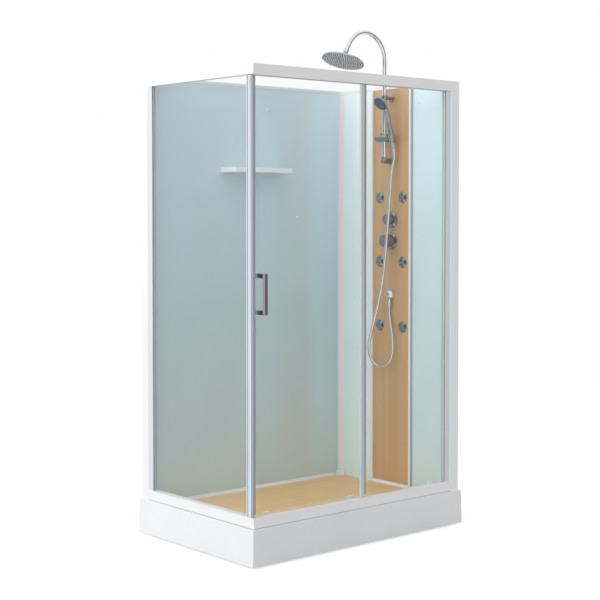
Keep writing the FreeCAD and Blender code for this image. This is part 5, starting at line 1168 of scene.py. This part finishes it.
# %% Turn the knobs
KNOB_BACK, KNOB_BORE = PLATE_DEPTH + 0.0005, 0.0062
DIVERTER, MIXER = 0.0235, 0.028
LEVER, LEVER_TIP, LEVER_REACH = 0.003, 0.00345, 0.068
LEVER_TURN = radians(20)


def knob(joint, node, radius):
    """A cap with a flat front, an eased edge and a shallow ring turned into its face."""
    front = wall_x - box[node][0].x
    bm = bmesh.new()
    spin(bm, [(KNOB_BACK, KNOB_BORE), (KNOB_BACK, radius, 0.0008), (front, radius, 0.0025),
              (front, radius - 0.006, 0.0003), (front - 0.0005, radius - 0.0065, 0.0003),
              (front - 0.0005, radius - 0.0075, 0.0003), (front, radius - 0.008, 0.0003), (front, 0)],
         aim((wall_x, column_y, pivot(joint).z), out), 80)
    return bm


bm = knob("diverter_turn", "diverter_knob", DIVERTER)
finish_piece(bm, "diverter_cap", chrome_painted_shade, "diverter", ["diverter_knob"], "bright_metal")
bm = knob("mixer_turn", "mixer_knob", MIXER)
lever_heading = Vector((0, -sin(LEVER_TURN), -cos(LEVER_TURN)))
lever_root = Vector((wall_x - 0.02, column_y, pivot("mixer_turn").z))
spin(bm, [(0.014, 0), (0.014, LEVER), (LEVER_REACH - 0.01, LEVER, 0.01),
          (LEVER_REACH - 0.008, LEVER_TIP, 0.002), (LEVER_REACH, LEVER_TIP, 0.0025), (LEVER_REACH, 0)],
     aim(lever_root, lever_heading), 32)
finish_piece(bm, "mixer_cap", chrome_painted_shade, "mixer", ["mixer_knob"], "bright_metal")

# %% Make the six jets
JET_FLANGE, JET_DEPTH = 0.026, 0.008
JET_BALL, JET_FACE = 0.011, 0.0089
BALL_ARC, BALL_ARC_STEPS = pi - 0.53, 14
SEAT, SEAT_LIP = 0.0113, 0.0071

flanges = bmesh.new()
for jet in [(level, side) for level in ("top", "middle", "low") for side in ("left", "right")]:
    name, level, side = "_".join(jet), *jet
    centre = pivot(f"{name}_aim")
    spin(flanges, [(-0.021, 0), (-0.021, 0.013), (0, 0.013), (0, JET_FLANGE, 0.001),
                   (0.003, JET_FLANGE, 0.002), (0.0065, 0.019, 0.003), (JET_DEPTH, 0.016, 0.001),
                   (JET_DEPTH, SEAT_LIP + 0.002, 0.001), (JET_DEPTH - 0.001, SEAT_LIP, 0.0003),
                   (0.004, 0.0103), (0.0, SEAT), (-0.017, SEAT), (-0.017, 0)],
         aim((wall_x, centre.y, centre.z), out), 64)
    turns = [BALL_ARC * i / BALL_ARC_STEPS for i in range(1, BALL_ARC_STEPS + 1)]
    arc = [(-JET_BALL * cos(turn), JET_BALL * sin(turn)) for turn in turns]
    ball_bm = bmesh.new()
    spin(ball_bm, [(-JET_BALL, 0)] + arc + [(JET_FACE, 0.0048, 0.0005), (JET_FACE, 0)], aim(centre, out), 40)
    finish_piece(
        ball_bm, f"{name}_ball", chrome_painted_shade, f"{name}_nozzle", [f"{level}_jet_{side}"], "bright_metal")
    nozzles(f"{name}_tips", centre + out * JET_FACE, out, 1, 0.0031, 0.0008, 0.0006, nozzle_rubber,
            f"{name}_nozzle")
finish_piece(flanges, "jet_rings", chrome_painted_shade, "cabin", ["jet_flanges"], "bright_metal")

# %% [markdown]
# ## The door's handle
# The handle is one bent bar of square section, held by two round caps behind the glass. Its side
# view is a flat letter C, so eight corners joined across its width and a bevel give the bar. That
# is less work than sweeping a square along a path with two tight bends.

# %% Bend the handle
HANDLE_DEPTH = 0.0106
HANDLE_ARM = 0.018
HANDLE_SOFT = 0.0015
CAP, CAP_DEPTH = 0.008, 0.004

handle_low, handle_high = box["door_handle"]
glass_face = box["door_glass"][0].y
front, inner = handle_low.y, handle_low.y + HANDLE_DEPTH
foot, head = handle_low.z, handle_high.z
profile = (
    (glass_face, foot), (front, foot), (front, head), (glass_face, head), (glass_face, head - HANDLE_ARM),
    (inner, head - HANDLE_ARM), (inner, foot + HANDLE_ARM), (glass_face, foot + HANDLE_ARM),
)
bm = bmesh.new()
near = [bm.verts.new((handle_low.x, y, z)) for y, z in profile]
far = [bm.verts.new((handle_high.x, y, z)) for y, z in profile]
bridge(bm, near, far)
bm.faces.new(near)
bm.faces.new(far)
bmesh.ops.bevel(bm, geom=bm.edges[:], offset=HANDLE_SOFT, segments=3, profile=0.5, affect="EDGES")
handle_x = (handle_low.x + handle_high.x) / 2
for z in (foot + HANDLE_ARM / 2, head - HANDLE_ARM / 2):
    spin(bm, [(0, 0), (0, CAP, 0.0005), (CAP_DEPTH, CAP, 0.0015), (CAP_DEPTH, 0.004, 0.0003),
              (CAP_DEPTH - 0.001, 0.0038, 0.0003), (CAP_DEPTH - 0.001, 0)],
         aim((handle_x, handle_high.y - CAP_DEPTH, z), along_y), 40)
finish_piece(bm, "handle_bar", chrome_painted_shade, "door", ["door_handle"], "bright_metal")

# %% [markdown]
# ## The corner strip
# Where the side glass meets the door, three things lie side by side: a bright aluminium profile,
# a grey gasket let into it, and a soft clear lip that the door closes against. The gasket and the
# lip are coloured dark, partly their own colour and partly painted shade for the groove and for the
# gap at the door. Each is a drawn or moulded length of one outline, so an outline is extruded upward
# for each of them. Three blocks would be quicker, but they would lack the groove for the glass and
# the lip's round nose.

# %% Draw the corner profile
GLASS_THICKNESS, GLASS_GRIP, GLASS_PLAY = 0.005, 0.009, 0.0003
LIP = 0.0125
GASKET = (0.006, 0.012)
GASKET_DEPTH = 0.0012
SOFT = 0.0006


def drawn(bm, outline, low, high):
    """An outline in X and Y, drawn upward between two heights."""
    foot = [bm.verts.new((x, y, low)) for x, y in outline]
    head = [bm.verts.new((x, y, high)) for x, y in outline]
    bridge(bm, foot, head)
    bm.faces.new(foot)
    bm.faces.new(head)


strip_low, strip_high = box["side_edge_profile"]
left, right = strip_low.x, strip_high.x
nose, tail = strip_low.y, strip_high.y
glass_left = (left + right - GLASS_THICKNESS) / 2 - GLASS_PLAY
glass_right = (left + right + GLASS_THICKNESS) / 2 + GLASS_PLAY
channel = left + GASKET_DEPTH
bm = bmesh.new()
drawn(bm, (
    (left + SOFT, nose + LIP), (left, nose + LIP + 0.0012), (left, tail - GASKET[1]),
    (channel, tail - GASKET[1]), (channel, tail - GASKET[0]), (left, tail - GASKET[0]),
    (left, tail - SOFT), (left + SOFT, tail), (glass_left, tail), (glass_left, tail - GLASS_GRIP),
    (glass_right, tail - GLASS_GRIP), (glass_right, tail), (right - SOFT, tail), (right, tail - SOFT),
    (right, nose + LIP)), strip_low.z, strip_high.z)
finish_piece(bm, "corner_profile", profile_metal, "cabin", ["side_edge_profile"], "bright_profile")

# %% Fit the gasket and the lip
GASKET_PLAY = 0.0002

gasket_face, gasket_back = left + 0.0003, channel - 0.0001
gasket_front, gasket_end = tail - GASKET[1] + GASKET_PLAY, tail - GASKET[0] - GASKET_PLAY
bm = bmesh.new()
drawn(bm, ((gasket_face, gasket_front), (gasket_back, gasket_front), (gasket_back, gasket_end),
           (gasket_face, gasket_end)), strip_low.z, strip_high.z)
finish_piece(bm, "corner_gasket", gasket_with_painted_shade, "cabin", [], "seal_strip")
lip_left, lip_right = left + SOFT, right - 0.0004
bm = bmesh.new()
drawn(bm, (
    (lip_right, nose + LIP - 0.0004), (left + 0.001, nose + LIP - 0.0004), (lip_left, nose + LIP - 0.0012),
    (lip_left, nose + 0.0025), (left + 0.0014, nose + 0.0008), (left + 0.003, nose), (right - 0.003, nose),
    (right - 0.0014, nose + 0.0008), (lip_right, nose + 0.0025)), strip_low.z, strip_high.z)
finish_piece(bm, "corner_lip", lip_with_painted_shade, "cabin", [], "seal_strip")

# %% [markdown]
# ## Strips of painted shade
# A grey strip along the edge of the joint strip beside the column paints the shade on its side, and
# a grey strip along the foot of the two bottom rails paints the shadow in the joint above the tray.
# A dark line in the finish could suggest them. They are thin blocks instead, because a real edge
# keeps its place from every side.

# %% Lay the strips of painted shade
JOINT = 0.0004
SHADOW_STRIP_HEIGHT = 0.003
UNDER = 0.002
LIFT = 0.0002
STRIP_EDGE = -0.158

strips_low, strips_high = box["column_joint_strips"]
# A grey block on the edge of the joint strip: painted shade.
bm = bmesh.new()
block(bm, (strips_low.x - JOINT, STRIP_EDGE - JOINT, strips_low.z),
      (wall_x - 0.0001, STRIP_EDGE + 0.0055, strips_high.z))
finish_piece(bm, "strip_bead", bead_vinyl, "cabin", [], "seal_strip")
# Grey blocks at the foot of the rails: painted shadow of the joint.
bm = bmesh.new()
low, high = box["bottom_rail_front"]
block(bm, (low.x + UNDER, low.y - JOINT, low.z + LIFT), (high.x, low.y + UNDER, low.z + SHADOW_STRIP_HEIGHT))
low, high = box["bottom_rail_side"]
block(bm, (low.x - JOINT, low.y + UNDER, low.z + LIFT), (low.x + UNDER, high.y, low.z + SHADOW_STRIP_HEIGHT))
finish_piece(bm, "rail_bead", rail_sealant, "cabin", [], "seal_strip")

# %% [markdown]
# ## The rollers
# Four grooved wheels of hard white plastic carry the door on ribs inside the rails. The groove
# could be cut with a Boolean, but it is round, so it is simply a part of the wheel's profile.

# %% Turn the rollers
WHEEL, GROOVE = 0.0115, 0.0095
HALF_WHEEL, WHEEL_BORE = 0.003, 0.0031

for name in [f"{level}_{end}" for level in ("top", "bottom") for end in ("lead", "trail")]:
    level, end = name.split("_")
    bm = bmesh.new()
    spin(bm, [(0, WHEEL_BORE), (-HALF_WHEEL, WHEEL_BORE, 0.0003), (-HALF_WHEEL, 0.0065, 0.0003),
              (-0.0024, 0.007, 0.0003), (-0.0024, 0.0088, 0.0003), (-HALF_WHEEL, 0.0093, 0.0003),
              (-HALF_WHEEL, WHEEL - 0.001, 0.0004), (-0.0017, WHEEL, 0.0003), (-0.0015, GROOVE, 0.0006),
              (0.0015, GROOVE, 0.0006), (0.0017, WHEEL, 0.0003), (HALF_WHEEL, WHEEL - 0.001, 0.0004),
              (HALF_WHEEL, WHEEL_BORE, 0.0003), (0.0001, WHEEL_BORE)],
         aim(pivot(f"{name}_roll"), along_y), 56, True)
    finish_piece(
        bm, f"{name}_wheel", wheel_plastic, f"{name}_wheel", [f"{level}_roller_{end}"], "roller_plastic")

# %% [markdown]
# ## Feet, drain cover and screw caps
# These small turned parts are seldom seen, but they are there: seven rubber pads under the frame,
# the loose cover of the drain, and three white caps over the screws that hold the glass walls.
# They could stay as packed, but rounded edges cost only one profile each. The caps' white also
# paints the glints of reflected chrome that show on the walls at those places.

# %% Stand the frame on its pads
PAD = 0.024

pad_low, pad_high = box["foot_pads"]
rows_x = (pad_low.x + PAD, 0.0, pad_high.x - PAD)
rows_y = (pad_low.y + PAD, pad_high.y - PAD)
bm = bmesh.new()
for x, y in [(x, y) for x in rows_x for y in rows_y] + [(0.0, 0.0)]:
    spin(bm, [(0, 0), (0, PAD, 0.001), (0.005, PAD, 0.0015), (0.011, 0.016, 0.004),
              (pad_high.z, 0.014, 0.001), (pad_high.z, 0.0062), (0.006, 0.0062), (0.006, 0)],
         aim((x, y, 0), up), 40)
finish_piece(bm, "pads", rubber, "cabin", ["foot_pads"], "black_rubber")

# %% Cover the drain and the screws
SCREW_CAP = 0.006

cover_low, cover_high = box["drain_cover"]
cover = Vector(((cover_low.x + cover_high.x) / 2, (cover_low.y + cover_high.y) / 2, cover_high.z))
cover_radius = (cover_high.x - cover_low.x) / 2
bm = bmesh.new()
spin(bm, [(-0.0125, 0.028), (-0.0125, 0.031), (-0.0035, 0.031), (-0.0035, cover_radius, 0.0006),
          (-0.0012, cover_radius, 0.001), (0, 0.044, 0.02), (0, 0.0), (-0.003, 0), (-0.003, 0.028)],
     aim(cover, up), 72)
finish_piece(bm, "drain_cap", chrome, "waste_cover", ["drain_cover"], "bright_metal")

back_y = box["back_wall_glass"][0].y
right_x = box["right_glass_front"][0].x
# White caps whose white also paints the glints of reflected chrome on the walls.
screws = (((0.0664, back_y, 1.879), (0, -1, 0)), ((0.249, back_y, 1.3832), (0, -1, 0)),
          ((right_x, -0.197, 1.9035), (-1, 0, 0)))
bm = bmesh.new()
for place, heading in screws:
    spin(bm, [(0, 0), (0, SCREW_CAP, 0.0004), (0.001, SCREW_CAP, 0.0006), (0.0032, 0.003, 0.003),
              (0.0035, 0)], aim(place, heading), 32)
finish_piece(bm, "screw_caps", moulded, "cabin", [], "white_plastic")

# %% [markdown]
# ## Flat pieces
# Tray, aprons, posts, rails, panels and panes have their right shape as packed, but their edges
# are as sharp as a knife, and nothing that is made has such edges. A Bevel modifier could round
# them. Here the loose triangles are joined back into flats first and only real corners are
# eased, so each edge catches one thin line of light and the flats stay flat. A pane's narrow
# faces get the greener, ground finish.

# %% Ease the white and metal pieces
FLAT_PIECES = (
    (0.0012, acrylic, "white_acrylic", ("front_apron", "side_apron")),
    (0.0015, shelf_white, "white_acrylic", ("shelf",)),
    (0.001, coating, "white_coating", ("post_left", "post_right", "post_back")),
    (0.0006, coating, "white_coating",
     ("top_rail_front", "top_rail_side", "bottom_rail_front", "bottom_rail_side")),
    (0.0005, coating, "white_coating", ("wall_trims",)),
    (0.0008, coating, "white_coating", ("column_joint_strips",)),
    (0.0005, channel_metal, "grey_channel", ("wall_channels",)),
    (0.0006, fixed_metal, "bright_profile", ("fixed_edge_profile",)),
    (0.0006, profile_metal, "bright_profile", ("door_edge_profiles",)),
    (0.0005, seal_plastic, "seal_strip", ("side_magnet_seal", "door_magnet_seal")),
    (0.0005, moulded, "white_plastic", ("roller_carriers",)),
    (0.001, moulded, "white_plastic", ("door_stops",)),
    (0.0008, frame_steel, "frame_steel", ("base_frame",)),
)

for width, material, slot, members in FLAT_PIECES:
    for node in members:
        eased(node, width, material, slot)

# %% Ease the tray, the bamboo and the glass
EDGE_OF_PANE, EDGE_OF_WALL = 0.0007, 0.0006

eased("floor_board", 0.0012, floor_bamboo, "bamboo_board", 3)
eased("column_panel", 0.0008, column_bamboo, "bamboo_panel")
eased("tray", 0.0025, acrylic, "white_acrylic", 4)
for node in ("side_glass", "fixed_glass", "door_glass"):
    eased(node, EDGE_OF_PANE, pane, "clear_glass", 1, edge_material=pane_edge)
walls = {"back_wall_glass": wall_back_painted_shade, "right_glass_rear": wall_corner_painted_light, "right_glass_front": wall_front_painted_light}
for node, material in walls.items():
    eased(node, EDGE_OF_WALL, material, "back_glass", 1)

# %% [markdown]
# ## Pieces that stay as packed
# The threaded studs of the feet and the drain trap are round already and lie out of sight, so
# they keep the packed mesh and only get a finish. The valve body and the pipes behind the column
# could keep theirs too, but a single bevel step takes the knife edge off them.

# %% Carry over the rest
for node, material in (("foot_studs", frame_steel), ("drain_trap", pipe_plastic)):
    nodes[node].data.materials.clear()
    nodes[node].data.materials.append(material)
    print(node, "keeps its packed mesh")
for node in ("valve_body", "water_pipes"):
    eased(node, 0.0005, frame_steel, "frame_steel", 1)

# %% [markdown]
# ## Light
# The photo was taken in a bright studio, lit most from the left and from above. Lamps could be
# placed one by one, but a world that changes with direction gives the same soft light with less
# noise. Diffuse rays read a level that leans with their direction. Camera rays, and rays through
# glass, see plain white. Mirror rays see white too, but for two dark cards with soft edges,
# because chrome looks like chrome only where it has something dark to mirror.

# %% Build the studio light
LIGHT_LEAN = (-0.73, 0.2, 0.45)
LIGHT_LEVEL, LEAST_LIGHT = 0.836, 0.05
CARDS = (((0.46, -0.888, 0.0), 0.78, 0.965, 0.28), ((-0.996, -0.093, 0.0), 0.86, 0.985, 0.15))

world = bpy.data.worlds.new("studio")
scene.world = world
world.use_nodes = True
sky = world.node_tree
sky.nodes.clear()
heading = sky.nodes.new("ShaderNodeTexCoord").outputs["Generated"]
ray = sky.nodes.new("ShaderNodeLightPath").outputs


def wired(kind, values=(), links=(), **settings):
    """A node of the world with values in some sockets and outputs linked to others."""
    node = sky.nodes.new(kind)
    for key, value in settings.items():
        setattr(node, key, value)
    for socket, value in values:
        node.inputs[socket].default_value = value
    for socket, source in links:
        sky.links.new(source, node.inputs[socket])
    return node


def reckon(operation, first, second):
    """The output of a Math node on two things, each a number or another node's output."""
    pairs = list(enumerate((first, second)))
    numbers = [(i, item) for i, item in pairs if isinstance(item, float)]
    outputs = [(i, item) for i, item in pairs if not isinstance(item, float)]
    return wired("ShaderNodeMath", numbers, outputs, operation=operation).outputs[0]


def facing(axis):
    """How far a ray's direction goes along an axis."""
    dot = wired("ShaderNodeVectorMath", [(1, axis)], [(0, heading)], operation="DOT_PRODUCT")
    return dot.outputs["Value"]


def card(axis, soft_edge, core, dark):
    """White that fades to a darker level round one direction."""
    values = (("From Min", soft_edge), ("From Max", core), ("To Min", 1.0), ("To Max", dark))
    fade = wired("ShaderNodeMapRange", values, [("Value", facing(axis))], interpolation_type="SMOOTHSTEP")
    return fade.outputs["Result"]


lean = reckon("MAXIMUM", reckon("ADD", facing(LIGHT_LEAN), LIGHT_LEVEL), LEAST_LIGHT)
cards = reckon("MINIMUM", *(card(*values) for values in CARDS))
mirrored = wired("ShaderNodeMix", [("A", 1.0)], [("Factor", ray["Is Glossy Ray"]), ("B", cards)])
either = reckon("MAXIMUM", ray["Is Camera Ray"], ray["Is Glossy Ray"])
seen = reckon("MAXIMUM", either, ray["Is Transmission Ray"])
pick = wired("ShaderNodeMix", links=[("Factor", seen), ("A", lean), ("B", mirrored.outputs["Result"])])
backdrop = wired("ShaderNodeBackground", links=[("Color", pick.outputs["Result"])])
wired("ShaderNodeOutputWorld", links=[("Surface", backdrop.outputs[0])])
print("world of", len(sky.nodes), "nodes and", len(CARDS), "cards")

# %% [markdown]
# ## Floor
# The cabin stands on white paper that runs into the background without an edge. A studio bends
# its paper up behind the object, but a flat sheet as white as the world behind it does the same
# from any side. Plain paper under this light comes out grey, so it also glows a little, for the
# rays that a camera or a pane of glass sends. Diffuse rays don't meet the glow, so it throws no
# light up under the tray, and mirrors don't see the floor at all.

# %% Lay the paper
FLOOR_HALF = 5
FLOOR_DROP = 0.0003
PAPER_TONE, PAPER_GLOW = 0.5, 0.6

bm = bmesh.new()
bmesh.ops.create_grid(bm, x_segments=1, y_segments=1, size=FLOOR_HALF)
floor = as_object(bm, "studio_floor")
floor.location.z = -FLOOR_DROP
floor.visible_glossy = False
paper = Finish("studio_paper", (PAPER_TONE,) * 3, 0.9, Specular_IOR_Level=0.0)
path_kind = paper.add("ShaderNodeLightPath")
direct = paper.add("ShaderNodeMath", operation="MAXIMUM")
paper.link(path_kind, "Is Camera Ray", direct, 0)
paper.link(path_kind, "Is Transmission Ray", direct, 1)
glow = paper.add("ShaderNodeEmission")
paper.link(paper.spread(direct, 0.0, PAPER_GLOW, out="Value"), "Result", glow, "Strength")
total = paper.add("ShaderNodeAddShader")
paper.link(paper.shader, "BSDF", total, 0)
paper.link(glow, "Emission", total, 1)
paper.link(total, "Shader", paper.output, "Surface")
floor.data.materials.append(paper.material)
print("paper floor", 2 * FLOOR_HALF, "m wide")

# %% [markdown]
